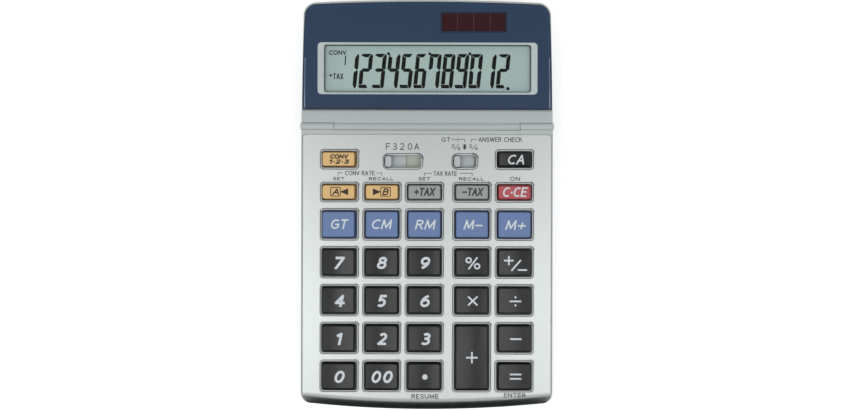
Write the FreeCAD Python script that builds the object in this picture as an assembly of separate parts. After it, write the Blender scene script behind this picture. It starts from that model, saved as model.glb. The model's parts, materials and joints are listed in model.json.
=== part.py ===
import FreeCAD, Part
import math
import os
from FreeCAD import Placement, Rotation, Vector

os.makedirs("parts", exist_ok=True)

# Desktop calculator with a tilting display head.
# Sizes are in millimetres and degrees.
# The plate frame has X across, Y towards the display and Z out of the keyboard face.
# Its origin lies over the hinge axis, level with the face.

# Case
case_width = 106.0
case_reach = 119.7
front_bow_radius = 505.0
case_corner_radius = 5.0
case_slope = 4.5
rear_height = 20.2
case_wall = 1.8
deck_wall = 2.0
edge_bevel = 0.5
parting_depth = 7.2
bottom_bevel = 1.2

# Faceplate, a sheet that rolls over the front edge
plate_thickness = 0.5
plate_margin = 0.7
plate_rear_gap = 3.4
plate_rear_corner = 1.5
plate_roll_radius = 5.0
plate_tail = 0.8
hidden_roll_steps = 3
plate_clearance = 0.1

# Key field
outer_column_inset = 16.15
operator_gap = 2.1
column_land = 2.94
front_row_inset = 14.58
row_land = 3.81
tax_row_step = 13.61
switch_row_step = 13.83
switch_row_inset = 13.84
small_well_depth = 7.15
well_corner = 0.65
well_corner_steps = 1
slot_corner_steps = 3
rim_width = 0.45
rim_groove = 0.35

# Key caps
cap_gap = 0.55
cap_draft = 0.3
cap_height = 2.3
cap_corner = 0.55
cap_corner_steps = 1
cap_edge = 0.3
cap_dish_radius = 80.0
cap_wall = 1.3
cap_flange = 0.55
cap_flange_thickness = 0.8
cap_flange_gap = 0.05
key_travel = 1.2
first_column_shift = 0.35

# Slide switches
slot_depth = 5.4
decimal_slot_width = 15.5
decimal_slot_centre = -10.15
rounding_slot_width = 9.7
rounding_slot_centre = 15.97
slot_row = 14.7
slot_corner = 1.5
grip_width = 2.6
grip_depth = 4.6
grip_end_gap = 0.3
grip_height = 0.7
tongue_length = 6.1
tongue_depth = 7.0
tongue_tail = 1.0
tongue_thickness = 0.8
slider_clearance = 0.1
switch_board_thickness = 0.8
switch_rail_width = 1.0
switch_rail_gap = 0.4

# Contact mat and main board
mat_clearance = 0.35
mat_thickness = 1.0
mat_boss_gap = 0.7
mat_front_gap = 2.6
mat_rear = 9.0
front_rib_inset = 22.7
middle_rib = 62.0
rib_width = 1.2
dome_side_gap = 0.4
dome_draft = 0.8
board_thickness = 1.2
chip_size = 12.0
chip_height = 1.4
chip_x = 14.0
chip_y = -38.0
relay_width = 3.0
relay_length = 6.0
relay_height = 1.6
relay_x = 27.5
relay_rows = (-43.0, -33.0)
resistor_width = 5.0
resistor_length = 3.0
resistor_height = 1.2
resistor_from_battery = 21.5
resistor_rows = (-34.5, -42.5)
capacitor_radius = 2.5
capacitor_height = 5.0
capacitor_x = 34.0
capacitor_y = -22.0
post_sides = 8
screw_sides = 10
pin_sides = 14

# Screws and bosses
boss_radius = 2.5
boss_side_inset = 4.8
front_boss_inset = 16.7
rear_boss = 14.0
screw_shaft_radius = 1.0
screw_head_radius = 2.0
screw_head_height = 1.3
screw_clearance = 0.05
screw_bite = 4.0
screw_recess = 0.6

# Underside
foot_height = 1.0
foot_seat = 0.5
foot_length = 12.0
foot_depth = 5.0
foot_corner = 1.2
foot_side_inset = 12.0
foot_front_inset = 12.0
foot_rear_inset = 9.0
battery_side_inset = 28.0
battery_centre_y = -26.0
cell_radius = 5.8
cell_height = 5.4
cell_clearance = 0.3
door_length = 25.0
door_width = 15.0
door_thickness = 1.4
door_clearance = 0.15
door_lip = 1.2
door_screw_recess = 0.8
contact_thickness = 0.3

# Hinge
hinge_radius = 2.1
hinge_depth = 1.72
hinge_gap = 0.25
hinge_face_gap = 0.2
ear_length = 13.7
seam_gap = 0.3
pin_radius = 1.3
pin_clearance = 0.05
pin_hold = 12.0
pin_head_radius = 1.75
pin_head_rise = 0.5
pin_head_bevel = 0.4
crease_width = 0.25
crease_depth = 0.25

# Display head
head_far = 53.4
head_taper = 0.95
head_bow_radius = 1000.0
head_corner_radius = 5.5
head_thickness = 9.4
head_wall = 1.7
head_back_bevel = 1.6
strip_depth = 6.65
rim_step = 0.3

# Blue front cover of the head
cover_gap = 0.4
cover_rise = 0.9
cover_near_inset = 0.45
cover_middle_inset = 0.65
cover_far_inset = 0.7
cover_far = 52.6
cover_bow_radius = 1000.0
cover_corner_radius = 4.9
cover_bevel = 0.8
cover_edge = 0.35
cover_inner_depth = 1.3
cover_inner_clearance = 0.15
hook_x = 30.0
hook_width = 8.0
hook_reach = 1.6
hook_thickness = 0.8
head_boss_side_inset = 9.0
head_boss_y = 45.6
head_boss_top = 4.6
head_boss_radius = 2.2

# Display and solar cell
bezel_x = 0.15
bezel_y = 24.4
bezel_side = 2.7
bezel_end = 0.9
bezel_corner = 1.5
bezel_clearance = 0.1
bezel_rise = 0.12
bezel_bevel = 0.35
window_side_inset = 8.5
window_depth = 20.0
window_corner = 1.0
window_thickness = 0.6
window_seat = 0.5
window_ledge = 1.0
glass_side_lap = 2.2
glass_end_lap = 2.75
glass_thickness = 2.0
glass_clearance = 0.05
zebra_width = 1.6
zebra_height = 1.0
zebra_inset = 0.8
display_board_side_inset = 1.5
display_board_end_reach = 2.75
board_rib_inset = 10.0
solar_x = 19.55
solar_y = 43.9
solar_width = 27.1
solar_depth = 7.8
solar_recess = 0.4
solar_thickness = 1.1
solar_lap = 0.8

# Places worked out from the sizes above
half_width = case_width / 2
front_y = -case_reach
rear_y = -hinge_face_gap
clear_of_all = case_reach
deck_underside = plate_thickness + deck_wall
outer_column = half_width - outer_column_inset
seam_from_middle = half_width - ear_length
trough_radius = hinge_radius + hinge_gap
column_pitch = (2 * outer_column - operator_gap) / 4
well_width = column_pitch - column_land
columns = {
    "left": -outer_column,
    "second": -outer_column + column_pitch,
    "third": -outer_column + 2 * column_pitch,
    "fourth": outer_column - column_pitch,
    "right": outer_column,
}
switch_row = -switch_row_inset
tax_row = switch_row - switch_row_step
memory_row = tax_row - tax_row_step
front_row = front_y + front_row_inset
row_pitch = (memory_row - front_row) / 4
well_depth = row_pitch - row_land
number_rows = [front_row + row_pitch * i for i in range(5)]
tall_well_depth = well_depth + row_pitch
ring_width = rim_width + rim_groove
flange_top = -deck_underside - cap_flange_gap
flange_bottom = flange_top - cap_flange_thickness
mat_top = flange_bottom - key_travel - mat_clearance
mat_bottom = mat_top - mat_thickness
board_bottom = mat_bottom - board_thickness
cap_roof = cap_height - cap_wall - key_travel
boss_x = half_width - boss_side_inset
mat_half_width = boss_x - boss_radius - mat_boss_gap
boss_rows = (front_y + front_boss_inset, -rear_boss)
boss_places = [(s * boss_x, y) for s in (-1, 1) for y in boss_rows]
support_ribs = (-middle_rib, front_y + front_rib_inset)

battery_centre_x = -half_width + battery_side_inset
resistor_x = battery_centre_x + resistor_from_battery

# Places in the display head
head_far_half = half_width - head_taper
cover_near_half = half_width - cover_near_inset
cover_middle_half = half_width - cover_middle_inset
cover_far_half = head_far_half - cover_far_inset
head_boss_x = half_width - head_boss_side_inset
window_width = 2 * (head_far_half - window_side_inset)
bezel_width = window_width + 2 * bezel_side
bezel_depth = window_depth + 2 * bezel_end
glass_width = window_width + 2 * glass_side_lap
glass_depth = window_depth + 2 * glass_end_lap
display_board_width = glass_width - 2 * display_board_side_inset
display_board_depth = glass_depth + 2 * display_board_end_reach

# Every key has a name, a column, a row centre and a well depth
key_plan = [
    ("key_convert", "left", switch_row, small_well_depth),
    ("key_all_clear", "right", switch_row, small_well_depth),
    ("key_rate_a", "left", tax_row, small_well_depth),
    ("key_rate_b", "second", tax_row, small_well_depth),
    ("key_tax_plus", "third", tax_row, small_well_depth),
    ("key_tax_minus", "fourth", tax_row, small_well_depth),
    ("key_clear", "right", tax_row, small_well_depth),
]
number_names = [
    ["key_zero", "key_double_zero", "key_point", None, "key_equals"],
    ["key_one", "key_two", "key_three", None, "key_minus"],
    ["key_four", "key_five", "key_six", "key_multiply", "key_divide"],
    ["key_seven", "key_eight", "key_nine", "key_percent", "key_sign"],
    ["key_total", "key_memory_clear", "key_memory_recall", "key_memory_minus", "key_memory_plus"],
]
for row_y, names in zip(number_rows, number_names):
    for column, name in zip(columns, names):
        if name:
            key_plan.append((name, column, row_y, well_depth))
plus_y = (number_rows[0] + number_rows[1]) / 2
key_plan.append(("key_plus", "fourth", plus_y, tall_well_depth))


# Outlines and blocks

def box(x0, x1, y0, y1, z0, z1):
    return Part.makeBox(x1 - x0, y1 - y0, z1 - z0, Vector(x0, y0, z0))


def ring_points(radius, x, y, z, sides):
    points = []
    for i in range(sides + 1):
        a = 2 * math.pi * (i % sides) / sides
        points.append(Vector(x + radius * math.cos(a), y + radius * math.sin(a), z))
    return points


def post(radius, x, y, z0, z1, sides=post_sides):
    """Upright post or hole with flat sides, for small parts that repeat."""
    wire = Part.makePolygon(ring_points(radius, x, y, z0, sides))
    return Part.Face(wire).extrude(Vector(0, 0, z1 - z0))


def rod(radius, x0, x1):
    """Round bar on the hinge axis."""
    return Part.makeCylinder(radius, x1 - x0, Vector(x0, 0, -hinge_depth), Vector(1, 0, 0))


def lay_on_hinge(shape, side):
    """Turn a shape from the Z axis onto the hinge axis, pointing outward."""
    placed = shape.copy()
    placed.rotate(Vector(0, 0, 0), Vector(0, 1, 0), side * 90)
    placed.translate(Vector(0, 0, -hinge_depth))
    return placed


def soft_points(x, y, z, width, depth, corner, steps):
    """Rectangle whose corners turn in a few equal steps."""
    points = []
    turns = [(1, 1, 0), (-1, 1, 90), (-1, -1, 180), (1, -1, 270)]
    for sx, sy, start in turns:
        cx = x + sx * (width / 2 - corner)
        cy = y + sy * (depth / 2 - corner)
        for i in range(steps + 1):
            a = math.radians(start + 90 * i / steps)
            points.append(Vector(cx + corner * math.cos(a), cy + corner * math.sin(a), z))
    return points + points[:1]


def soft_prism(x, y, width, depth, corner, steps, z0, z1):
    wire = Part.makePolygon(soft_points(x, y, z0, width, depth, corner, steps))
    return Part.Face(wire).extrude(Vector(0, 0, z1 - z0))


def tapered_prism(low, high):
    """Solid between two level rings of matching points."""
    faces = [Part.Face(Part.makePolygon(low)), Part.Face(Part.makePolygon(high))]
    for i in range(len(low) - 1):
        ring = [low[i], low[i + 1], high[i + 1], high[i], low[i]]
        faces.append(Part.Face(Part.makePolygon(ring)))
    return Part.Solid(Part.Shell(faces))


def upright_edges(shape, x, y):
    """Edges along Z at one place in plan."""
    found = []
    for edge in shape.Edges:
        a = edge.Vertexes[0].Point
        b = edge.Vertexes[-1].Point
        upright = math.hypot(a.x - b.x, a.y - b.y) < 0.001 and abs(a.z - b.z) > 0.01
        if upright and math.hypot(a.x - x, a.y - y) < 0.01:
            found.append(edge)
    return found


def bowed_block(near_half, far_half, near, far, bow, corner, z0, z1):
    """Block whose far side bows outward and has rounded corners."""
    turn = 1 if far > near else -1
    shoulder = far - turn * (bow - math.sqrt(bow ** 2 - far_half ** 2))
    near_left = Vector(-near_half, near, z0)
    near_right = Vector(near_half, near, z0)
    far_left = Vector(-far_half, shoulder, z0)
    far_right = Vector(far_half, shoulder, z0)
    edges = [
        Part.LineSegment(near_left, far_left).toShape(),
        Part.Arc(far_left, Vector(0, far, z0), far_right).toShape(),
        Part.LineSegment(far_right, near_right).toShape(),
        Part.LineSegment(near_right, near_left).toShape(),
    ]
    block = Part.Face(Part.Wire(edges)).extrude(Vector(0, 0, z1 - z0))
    corners = upright_edges(block, -far_half, shoulder) + upright_edges(block, far_half, shoulder)
    return block.makeFillet(corner, corners)


def roll_waste(front, bow, roll, top, steps=0):
    """What a rolled front edge leaves out, turned about the centre of the bow."""
    low = top - roll
    slant = roll * (1 - math.sqrt(0.5))
    start = Vector(0, front, low)
    end = Vector(0, front + roll, top)
    over = Vector(0, front + roll, top + 2)
    corner = Vector(0, front - 2, top + 2)
    under = Vector(0, front - 2, low)
    if steps:
        curve = []
        for i in range(steps + 1):
            a = math.radians(90 * i / steps)
            curve.append(
                Vector(0, front + roll * (1 - math.cos(a)), low + roll * math.sin(a))
            )
        bend = Part.makePolygon(curve)
    else:
        bend = Part.Arc(start, Vector(0, front + slant, top - slant), end).toShape()
    profile = Part.Face(Part.Wire([bend, Part.makePolygon([end, over, corner, under, start])]))
    spread = math.degrees(math.asin(half_width / bow)) + 2
    centre = Vector(0, front + bow, 0)
    profile.rotate(centre, Vector(0, 0, 1), -spread)
    return profile.revolve(centre, Vector(0, 0, 1), 2 * spread)


def rolled_block(half, near, inset, top, roll, steps, z0):
    """Case-shaped block, rolled over at the front and set in from the case's outside."""
    front = front_y + inset
    bow = front_bow_radius - inset
    corner = case_corner_radius - min(inset, half_width - half)
    block = bowed_block(half, half, near, front, bow, corner, z0, top)
    return block.cut(roll_waste(front, bow, roll, top, steps))


def edges_level_with(shape, z):
    """Edges that lie in one level plane."""
    found = []
    for edge in shape.Edges:
        if all(abs(v.Point.z - z) < 0.001 for v in edge.Vertexes):
            found.append(edge)
    return found


# From the plate frame to the desk: the case stands on its slope
def stand(shape):
    placed = shape.copy()
    placed.rotate(Vector(0, 0, 0), Vector(1, 0, 0), case_slope)
    placed.translate(Vector(0, 0, rear_height))
    return placed


def desk_y(y, z):
    """Where a point of the plate frame lies along the desk."""
    slope = math.radians(case_slope)
    return y * math.cos(slope) - z * math.sin(slope)


# Wells of the keys and the two switches
def wells(grow, z0, z1):
    """Prisms over every opening in the deck, widened on each side."""
    corner = well_corner + grow * (2 - math.sqrt(2))
    steps = well_corner_steps
    prisms = []
    for name, column, y, depth in key_plan:
        width = well_width + 2 * grow
        prisms.append(
            soft_prism(columns[column], y, width, depth + 2 * grow, corner, steps, z0, z1)
        )
    slots = [(decimal_slot_centre, decimal_slot_width), (rounding_slot_centre, rounding_slot_width)]
    for x, width in slots:
        prisms.append(
            soft_prism(
                x, -slot_row, width + 2 * grow, slot_depth + 2 * grow,
                slot_corner + grow, slot_corner_steps, z0, z1,
            )
        )
    return Part.makeCompound(prisms)


# Faceplate and the seat it leaves in the case
def plate_core():
    return rolled_block(
        half_width, rear_y, plate_thickness, -plate_thickness,
        plate_roll_radius - plate_thickness, hidden_roll_steps, -parting_depth,
    )


def plate_blank(clearance):
    half = half_width - plate_margin + clearance
    near = -plate_rear_gap + clearance
    low = -plate_roll_radius - plate_tail - clearance
    blank = bowed_block(
        half, half, near, front_y, front_bow_radius, case_corner_radius, low, 0
    )
    rear_corners = upright_edges(blank, -half, near) + upright_edges(blank, half, near)
    blank = blank.makeFillet(plate_rear_corner, rear_corners)
    return blank.cut(roll_waste(front_y, front_bow_radius, plate_roll_radius, 0))


def faceplate():
    sheet = plate_blank(0).cut(plate_core())
    return sheet.cut(wells(ring_width, -deck_underside, 1))


# Top case with rims, wells, hinge ears and screw bosses
def hinge_crease(y, x0, x1):
    y0 = min(y, y + math.copysign(crease_width, y))
    return box(x0, x1, y0, y0 + crease_width, -crease_depth, 1)


def ear(side):
    inner = seam_from_middle + seam_gap / 2
    x0, x1 = sorted((side * inner, side * half_width))
    return rod(hinge_radius, x0, x1)


def top_case():
    outer = bowed_block(
        half_width, half_width, rear_y, front_y, front_bow_radius,
        case_corner_radius, -parting_depth, 0,
    )
    rim_edges = [e for e in edges_level_with(outer, 0) if abs(e.CenterOfMass.y - rear_y) > 0.1]
    outer = outer.makeChamfer(edge_bevel, rim_edges)
    outer = outer.cut(roll_waste(front_y, front_bow_radius, plate_roll_radius, 0))
    seat = plate_blank(plate_clearance).cut(plate_core())
    seat = seat.cut(wells(rim_width, -deck_underside, 1))
    case = outer.cut(seat)
    inside = rolled_block(
        half_width - case_wall, -trough_radius - case_wall,
        plate_thickness + case_wall, -deck_underside,
        plate_roll_radius - deck_underside, 1, -parting_depth - 1,
    )
    case = case.cut(inside)
    case = case.cut(wells(0, -deck_underside - 1, 1))
    case = case.fuse([ear(-1), ear(1)])
    inner = seam_from_middle + seam_gap / 2
    case = case.cut(rod(trough_radius, -inner, inner))
    case = case.cut(rod(pin_radius + pin_clearance, -half_width - 1, half_width + 1))
    crease_y = -math.sqrt(hinge_radius ** 2 - hinge_depth ** 2)
    creases = [
        hinge_crease(crease_y, inner, half_width),
        hinge_crease(crease_y, -half_width, -inner),
    ]
    case = case.cut(Part.makeCompound(creases))
    low = -parting_depth
    for x, y in boss_places:
        case = case.fuse(post(boss_radius, x, y, low, -deck_underside + 0.2))
    for x, y in boss_places:
        pilot = screw_shaft_radius + screw_clearance
        case = case.cut(post(pilot, x, y, low - 1, low + screw_bite))
    rail_y = tongue_depth / 2 + switch_rail_gap
    rail_low = -deck_underside - slider_clearance * 2 - tongue_thickness
    x0, x1 = switch_span()
    for side in (-1, 1):
        near = -slot_row + side * rail_y
        far = near + side * switch_rail_width
        rail = box(x0, x1, min(near, far), max(near, far), rail_low, -deck_underside + 0.2)
        case = case.fuse(rail)
    return case.removeSplitter()


# Small board under the two switches
def switch_span():
    left = decimal_slot_centre - decimal_slot_width / 2 - 4
    right = rounding_slot_centre + rounding_slot_width / 2 + 4
    return left, right


def switch_board():
    x0, x1 = switch_span()
    reach = tongue_depth / 2 + switch_rail_gap + switch_rail_width
    top = -deck_underside - slider_clearance * 2 - tongue_thickness
    y0 = -slot_row - reach
    y1 = -slot_row + reach
    return box(x0, x1, y0, y1, top - switch_board_thickness, top)


def slide_knob(slot_centre, slot_width):
    """Grip that stands in the slot on a tongue that runs under the deck."""
    left = slot_centre - slot_width / 2 + grip_end_gap
    right = left + grip_width
    top = -deck_underside - slider_clearance
    low = top - tongue_thickness
    y0 = -slot_row - tongue_depth / 2
    y1 = -slot_row + tongue_depth / 2
    tongue = box(left - tongue_tail, right + tongue_length, y0, y1, low, top)
    grip = soft_prism(
        (left + right) / 2, -slot_row, grip_width, grip_depth, grip_width * 0.4, 3, low, grip_height
    )
    return tongue.fuse(grip).removeSplitter()


# Key caps
def key_cap(column, y, depth):
    """Dished cap with drafted walls, a flange under the deck and a hollow for its dome."""
    x = columns[column]
    if column == "left":
        x = x - first_column_shift
    low_width = well_width - 2 * cap_gap
    low_depth = depth - 2 * cap_gap
    crown = cap_height + 1
    steps = cap_corner_steps
    crown_width = low_width - 2 * cap_draft
    crown_depth = low_depth - 2 * cap_draft
    skirt = tapered_prism(
        soft_points(x, y, flange_bottom, low_width, low_depth, cap_corner, steps),
        soft_points(x, y, crown, crown_width, crown_depth, cap_corner, steps),
    )
    reach = low_width / 2 - cap_draft
    sag = cap_dish_radius - math.sqrt(cap_dish_radius ** 2 - reach ** 2)
    axis_z = cap_height - sag + cap_dish_radius
    dish = Part.makeCylinder(
        cap_dish_radius, depth + 10, Vector(x, y - depth / 2 - 5, axis_z), Vector(0, 1, 0)
    )
    skirt = skirt.cut(dish)
    top_face = max(skirt.Faces, key=lambda f: f.CenterOfMass.z)
    skirt = skirt.makeChamfer(cap_edge, top_face.Edges)
    column_x = columns[column]
    flange = box(
        column_x - well_width / 2 - cap_flange, column_x + well_width / 2 + cap_flange,
        y - depth / 2 - cap_flange, y + depth / 2 + cap_flange, flange_bottom, flange_top,
    )
    hollow = box(
        x - low_width / 2 + cap_wall, x + low_width / 2 - cap_wall,
        y - low_depth / 2 + cap_wall, y + low_depth / 2 - cap_wall,
        flange_bottom - 1, cap_height - cap_wall,
    )
    return skirt.fuse(flange).cut(hollow).removeSplitter()


# Rubber mat with a dome inside every cap
def key_mat():
    front = front_y + plate_thickness + case_wall + mat_front_gap
    mat = box(-mat_half_width, mat_half_width, front, -mat_rear, mat_bottom, mat_top)
    domes = []
    dome_top = cap_roof - mat_clearance
    for name, column, y, depth in key_plan:
        x = columns[column]
        if column == "left":
            x = x - first_column_shift
        width = well_width - 2 * (cap_gap + cap_wall + dome_side_gap)
        length = depth - 2 * (cap_gap + cap_wall + dome_side_gap)
        crown_width = width - 2 * dome_draft
        crown_length = length - 2 * dome_draft
        domes.append(
            tapered_prism(
                four_points(x, y, mat_top - 0.2, width, length),
                four_points(x, y, dome_top, crown_width, crown_length),
            )
        )
    return mat.fuse(domes).removeSplitter()


def four_points(x, y, z, width, depth):
    corners = [(-1, -1), (1, -1), (1, 1), (-1, 1), (-1, -1)]
    return [Vector(x + a * width / 2, y + b * depth / 2, z) for a, b in corners]


def main_board():
    front = front_y + plate_thickness + case_wall + mat_front_gap
    return box(-mat_half_width, mat_half_width, front, -mat_rear, board_bottom, mat_bottom)


def under_board(x, y, width, length, height):
    return box(
        x - width / 2, x + width / 2, y - length / 2, y + length / 2,
        board_bottom - height, board_bottom,
    )


def controller_chip():
    return under_board(chip_x, chip_y, chip_size, chip_size, chip_height)


def board_parts():
    """Small parts soldered under the board."""
    parts = []
    for y in relay_rows:
        parts.append(under_board(relay_x, y, relay_width, relay_length, relay_height))
    for y in resistor_rows:
        parts.append(
            under_board(resistor_x, y, resistor_width, resistor_length, resistor_height)
        )
    low = board_bottom - capacitor_height
    parts.append(post(capacitor_radius, capacitor_x, capacitor_y, low, board_bottom))
    return Part.makeCompound(parts)


# Lower case: the wedge under the parting line, in the desk frame
# X is across, Y towards the display and Z up from the desk
def lower_block(inset, z0):
    front = desk_y(front_y, -parting_depth) + inset
    rear = desk_y(rear_y, -parting_depth) - inset
    half = half_width - inset
    return bowed_block(
        half, half, rear, front, front_bow_radius - inset, case_corner_radius - inset,
        z0, rear_height,
    )


def over_parting():
    reach = clear_of_all
    return stand(box(-reach, reach, -2 * reach, reach, -parting_depth, reach))


def lower_case():
    outer = lower_block(0, foot_height)
    outer = outer.makeChamfer(bottom_bevel, edges_level_with(outer, foot_height))
    case = outer.cut(lower_block(case_wall, foot_height + case_wall))
    inside = lower_block(case_wall - 0.2, foot_height + case_wall - 0.2)
    low = -rear_height - 5
    for x, y in boss_places:
        tube = stand(post(boss_radius, x, y, low, 0))
        case = case.fuse(tube.common(inside))
    for y in support_ribs:
        rib = box(
            -mat_half_width, mat_half_width, y - rib_width / 2, y + rib_width / 2, low, board_bottom
        )
        case = case.fuse(stand(rib).common(inside))
    case = case.cut(over_parting())
    for x, y in boss_places:
        case = case.cut(stand(post(screw_shaft_radius + 0.2, x, y, low, 1)))
        case = case.cut(stand(post(screw_head_radius + 0.2, x, y, low, screw_seat(y), screw_sides)))
    return finish_underside(case)


def screw_seat(y):
    """Level of a case screw's seat, so that its head hides in the bottom."""
    slope = math.radians(case_slope)
    lift = (foot_height - rear_height - y * math.sin(slope)) / math.cos(slope)
    return lift + screw_recess + screw_head_height


# Underside with feet seats and battery well, in the desk frame
def foot_places():
    front = desk_y(front_y, -parting_depth) + foot_front_inset
    rear = desk_y(rear_y, -parting_depth) - foot_rear_inset
    x = half_width - foot_side_inset
    return [(s * x, y) for s in (-1, 1) for y in (front, rear)]


def door_prism(grow, z0, z1):
    x, y = battery_centre_x, battery_centre_y
    length = door_length + 2 * grow
    width = door_width + 2 * grow
    return box(x - length / 2, x + length / 2, y - width / 2, y + width / 2, z0, z1)


def door_screw_place():
    return battery_centre_x - door_length / 2 + 3.6, battery_centre_y


def cell_place():
    return battery_centre_x + door_length / 2 - door_lip - cell_radius - 1.5, battery_centre_y


def finish_underside(case):
    """Feet seats and the battery well, cut from the desk side."""
    floor = foot_height
    for x, y in foot_places():
        seat = soft_prism(
            x, y, foot_length + 0.2, foot_depth + 0.2, foot_corner, 1, floor - 1, floor + foot_seat
        )
        case = case.cut(seat)
    roof = floor + door_thickness + cell_height + contact_thickness * 2 + 0.4
    housing = door_prism(case_wall * 0.7, floor + 0.5, roof + 1.2)
    case = case.fuse(housing)
    case = case.cut(door_prism(door_clearance, floor - 1, floor + door_thickness + 0.05))
    case = case.cut(door_prism(-door_lip, floor, roof))
    sx, sy = door_screw_place()
    case = case.fuse(post(boss_radius, sx, sy, floor + door_thickness + 0.05, roof + 0.1))
    pilot = screw_shaft_radius + screw_clearance
    case = case.cut(post(pilot, sx, sy, floor, roof - 1))
    return case.removeSplitter()


def rubber_feet():
    feet = []
    for x, y in foot_places():
        feet.append(
            soft_prism(
                x, y, foot_length, foot_depth, foot_corner, 1, 0, foot_height + foot_seat
            )
        )
    return Part.makeCompound(feet)


def battery_door():
    floor = foot_height
    door = door_prism(0, floor, floor + door_thickness)
    sx, sy = door_screw_place()
    door = door.cut(post(screw_shaft_radius + 0.15, sx, sy, floor - 1, floor + 5))
    recess = floor + door_screw_recess
    door = door.cut(post(screw_head_radius + 0.15, sx, sy, floor - 1, recess, screw_sides))
    grip_x = battery_centre_x + door_length / 2 - 4
    for i in range(3):
        x = grip_x + i * 1.1
        door = door.cut(box(x, x + 0.5, battery_centre_y - 4, battery_centre_y + 4, 0, floor + 0.3))
    return door.removeSplitter()


def battery_cell():
    x, y = cell_place()
    low = foot_height + door_thickness + cell_clearance
    can = post(cell_radius, x, y, low, low + cell_height * 0.85, pin_sides)
    cap = post(cell_radius * 0.8, x, y, low, low + cell_height, pin_sides)
    return can.fuse(cap).removeSplitter()


def battery_contacts():
    """Strip over the cell's small end and blade at its side."""
    x, y = cell_place()
    low = foot_height + door_thickness + cell_clearance
    top = low + cell_height
    over = box(x - 4, x + 4, y - 1.5, y + 1.5, top + 0.05, top + 0.05 + contact_thickness)
    side = x - cell_radius - 0.1
    blade = box(side - contact_thickness, side, y - 1.5, y + 1.5, low, top - 1.5)
    return Part.makeCompound([over, blade])


# Screws
def flat_screw(x, y, seat, length, height):
    """Screw that points up from its seat."""
    head = post(screw_head_radius, x, y, seat - height, seat, screw_sides)
    return head.fuse(post(screw_shaft_radius, x, y, seat, seat + length)).removeSplitter()


def case_screws():
    screws = []
    for x, y in boss_places:
        seat = screw_seat(y)
        length = -parting_depth - seat + screw_bite - 0.3
        screws.append(flat_screw(x, y, seat, length, screw_head_height))
    return stand(Part.makeCompound(screws))


def battery_screw():
    sx, sy = door_screw_place()
    seat = foot_height + door_screw_recess
    return flat_screw(sx, sy, seat, 5.0, door_screw_recess - 0.1)


# Hinge pins, pushed in from the sides
def hinge_pins():
    rise = half_width + pin_head_rise
    crown = pin_head_radius - pin_head_bevel
    head = tapered_prism(
        ring_points(pin_head_radius, 0, 0, half_width, pin_sides),
        ring_points(crown, 0, 0, rise, pin_sides),
    )
    shaft = post(pin_radius, 0, 0, seam_from_middle - pin_hold, half_width, pin_sides)
    pin = shaft.fuse(head).removeSplitter()
    return Part.makeCompound([lay_on_hinge(pin, -1), lay_on_hinge(pin, 1)])


# Display head
def head_block(inset, near, z0, z1):
    return bowed_block(
        half_width - inset, head_far_half - inset, near, head_far - inset,
        head_bow_radius - inset, head_corner_radius - inset, z0, z1,
    )


def head_bosses(radius, z0, z1, sides=post_sides):
    places = [(-head_boss_x, head_boss_y), (head_boss_x, head_boss_y)]
    return [post(radius, x, y, z0, z1, sides) for x, y in places]


def head_shell():
    low = -head_thickness
    block = head_block(0, hinge_face_gap, low, 0)
    back_edges = edges_level_with(block, low)
    back_edges = [e for e in back_edges if e.CenterOfMass.y > hinge_face_gap + 1]
    block = block.makeChamfer(head_back_bevel, back_edges)
    reach = clear_of_all
    block = block.cut(box(-reach, reach, strip_depth, reach, -rim_step, reach))
    inner_near = trough_radius + head_wall
    room = head_block(head_wall, inner_near, low + head_wall, 5)
    under_strip = room.common(box(-reach, reach, 0, strip_depth + 2, low, -head_wall))
    behind = room.common(box(-reach, reach, strip_depth + cover_gap, reach, low, reach))
    shell = block.cut(Part.makeCompound([under_strip])).cut(behind)
    inner = seam_from_middle - seam_gap / 2
    shell = shell.fuse(rod(hinge_radius, -inner, inner))
    ear_inner = seam_from_middle - seam_gap / 2
    ear_room = [
        rod(trough_radius, ear_inner, half_width + 1),
        rod(trough_radius, -half_width - 1, -ear_inner),
    ]
    shell = shell.cut(Part.makeCompound(ear_room))
    pin_room = pin_radius + pin_clearance
    depth = pin_hold + 0.3
    shell = shell.cut(rod(pin_room, inner - depth, inner + 1))
    shell = shell.cut(rod(pin_room, -inner - 1, -inner + depth))
    crease_y = math.sqrt(hinge_radius ** 2 - hinge_depth ** 2)
    shell = shell.cut(hinge_crease(crease_y, -inner, inner))
    inside = head_block(head_wall - 0.3, inner_near, low + head_wall - 0.3, 0)
    for boss in head_bosses(head_boss_radius, low, -head_boss_top):
        shell = shell.fuse(boss.common(inside))
    board_low = display_stack()[3]
    rib_x = display_board_width / 2 - board_rib_inset
    for x in (-rib_x, rib_x):
        rib = box(
            x - rib_width / 2, x + rib_width / 2, bezel_y - bezel_depth / 2,
            bezel_y + bezel_depth / 2, low, board_low,
        )
        shell = shell.fuse(rib.common(inside))
    for hole in head_bosses(screw_shaft_radius + 0.15, low - 1, 0):
        shell = shell.cut(hole)
    for well in head_bosses(screw_head_radius + 0.15, low - 1, head_screw_seat(), screw_sides):
        shell = shell.cut(well)
    return shell.removeSplitter()


def head_screw_seat():
    return -head_thickness + screw_recess + screw_head_height


def head_screws():
    seat = head_screw_seat()
    length = -head_boss_top - seat + 2.6
    screws = []
    for x in (-head_boss_x, head_boss_x):
        screws.append(flat_screw(x, head_boss_y, seat, length, screw_head_height))
    return Part.makeCompound(screws)


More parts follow.
